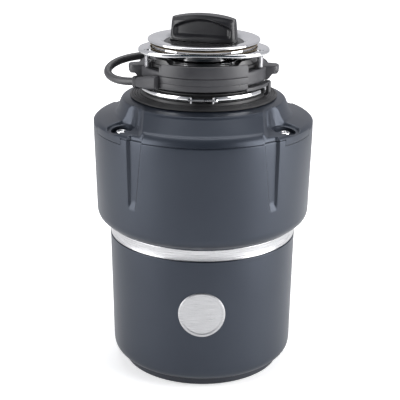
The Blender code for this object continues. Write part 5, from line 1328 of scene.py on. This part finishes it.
def lights():
    """Two tall soft boxes at the sides, a soft one above, and a pale surround."""

    def area(name, spot, target, width, height, power):
        data = bpy.data.lights.new(name, "AREA")
        data.shape = "RECTANGLE"
        data.size, data.size_y = width, height
        data.energy = power
        lamp = added(name, data)
        lamp.location = spot
        facing = Vector(target) - Vector(spot)
        lamp.rotation_euler = facing.to_track_quat("-Z", "Y").to_euler()

    area("left box", (-1.15, -0.45, 0.45), (0, 0, 0.17), 0.9, 1.4, 17.0)
    area("right box", (1.10, -0.38, 0.50), (0, 0, 0.17), 0.9, 1.4, 23.0)
    area("top box", (0.0, 0.40, 1.4), (0, 0, 0.25), 1.1, 0.8, 9.0)
    world = bpy.data.worlds.new("surround")
    world.use_nodes = True
    tree = world.node_tree
    background = tree.nodes["Background"]
    direction = node(tree, "SeparateXYZ", (("Vector", node(tree, "TexCoord").outputs["Generated"]),))
    side = node(tree, "Math", ((0, direction.outputs["X"]),), operation="ABSOLUTE")
    behind = node(tree, "Math", ((0, side.outputs[0]), (1, direction.outputs["Y"])), operation="MAXIMUM")
    glow = node(tree, "MapRange", (("Value", behind.outputs[0]),), From_Min=0.25, From_Max=0.80)
    around_it = node(tree, "Mix", (("Factor", glow.outputs[0]),), data_type="RGBA")
    around_it.inputs[6].default_value = (0.030, 0.042, 0.055, 1.0)
    around_it.inputs[7].default_value = (0.60, 0.60, 0.63, 1.0)
    seen = node(tree, "LightPath")
    shade = node(tree, "Mix", (("Factor", seen.outputs["Is Camera Ray"]),), data_type="RGBA")
    tree.links.new(around_it.outputs[2], shade.inputs[6])
    shade.inputs[7].default_value = (1.0, 1.0, 1.0, 1.0)
    tree.links.new(shade.outputs[2], background.inputs["Color"])
    bpy.context.scene.world = world


def floor():
    finish = material("pale floor", (0.86, 0.86, 0.86), (0.88, 0.88, 0.88), (0.7, 0.8))
    tree = finish.node_tree
    shader = tree.nodes["Principled BSDF"]
    shader.inputs["Emission Color"].default_value = (1.0, 1.0, 1.0, 1.0)
    coords = node(tree, "TexCoord").outputs["Object"]
    away = node(tree, "VectorMath", ((0, coords),), operation="LENGTH")
    fade = node(tree, "MapRange", (("Value", away.outputs["Value"]),), From_Min=0.10, From_Max=0.9)
    fade.inputs["To Min"].default_value = 0.42
    fade.inputs["To Max"].default_value = 1.0
    seen = node(tree, "LightPath")
    glow = node(tree, "Mix", (("Factor", seen.outputs["Is Camera Ray"]),))
    glow.inputs[2].default_value = 0.12
    tree.links.new(fade.outputs[0], glow.inputs[3])
    tree.links.new(glow.outputs[0], shader.inputs["Emission Strength"])
    solid = bmesh.new()
    half, depth = 6.0, -0.5 * MM
    edges = ((-half, -half), (half, -half), (half, half), (-half, half))
    solid.faces.new([solid.verts.new((x, y, depth)) for x, y in edges])
    ground = finish_mesh(solid, "floor", finish)


def camera():
    data = bpy.data.cameras.new("camera")
    data.lens = 99.09
    data.sensor_width = 36.0
    data.shift_x = -0.0066
    data.clip_end = 100.0
    eye = added("camera", data)
    eye.location = (0.0, -1.1055, 0.5595)
    aim = Vector((0.0, 0.0, 0.1745))
    facing = (aim - eye.location).to_track_quat("-Z", "Y")
    eye.rotation_euler = facing.to_euler()
    eye.rotation_euler.rotate_axis("Z", math.radians(0.48))
    bpy.context.scene.camera = eye
    bpy.context.scene.view_settings.view_transform = "Standard"


def build():
    camera()
    points = switch_cable()
    place(cable_boot(), HOUSING, "cable_boot", slot="grey_plastic")
    place(cable_gland(points), HOUSING, "cable_gland", slot="black_rubber")
    place(upper_shell(), HOUSING, "upper_shell", slot="slate")
    place(top_cover(), HOUSING, "top_cover", slot="slate")
    cover_bolts()
    place(lower_shell(), HOUSING, "lower_shell", slot="slate")
    place(trim_band(), HOUSING, "trim_band", slot="trim_metal")
    place(badge(), HOUSING, "badge", slot="trim_metal")
    place(base_pan(), HOUSING, "base_pan", slot="slate")
    place(gasket(), HOUSING, "mounting_gasket", slot="black_rubber")
    place(band_clamp(), HOUSING, "band_clamp", slot="chrome_fittings")
    place(clamp_bolt(), HOUSING, "clamp_bolt", slot="chrome_fittings")
    place(lower_mounting_ring(), "lock_ring", "lower_mounting_ring", slot="grey_plastic")
    place(lock_ramps(), "lock_ring", "lock_ramp_ring", slot="black_plastic")
    place(switch_housing(), HOUSING, "switch_housing", slot="grey_plastic")
    place(switch_bracket(), HOUSING, "switch_bracket", slot="grey_plastic")
    place(sink_flange(), HOUSING, "sink_flange", slot="chrome_fittings")
    place(upper_mounting_ring(), HOUSING, "upper_mounting_ring", slot="chrome_fittings")
    mounting_screws()
    place(stopper_disc(), "stopper_top", "stopper_disc", slot="black_plastic")
    place(stopper_grip(), "stopper_top", "stopper_grip", slot="black_plastic")
    place(outlet_seal(), HOUSING, "discharge_seal", slot="black_rubber")
    dress_inside()
    lights()
    floor()


build()
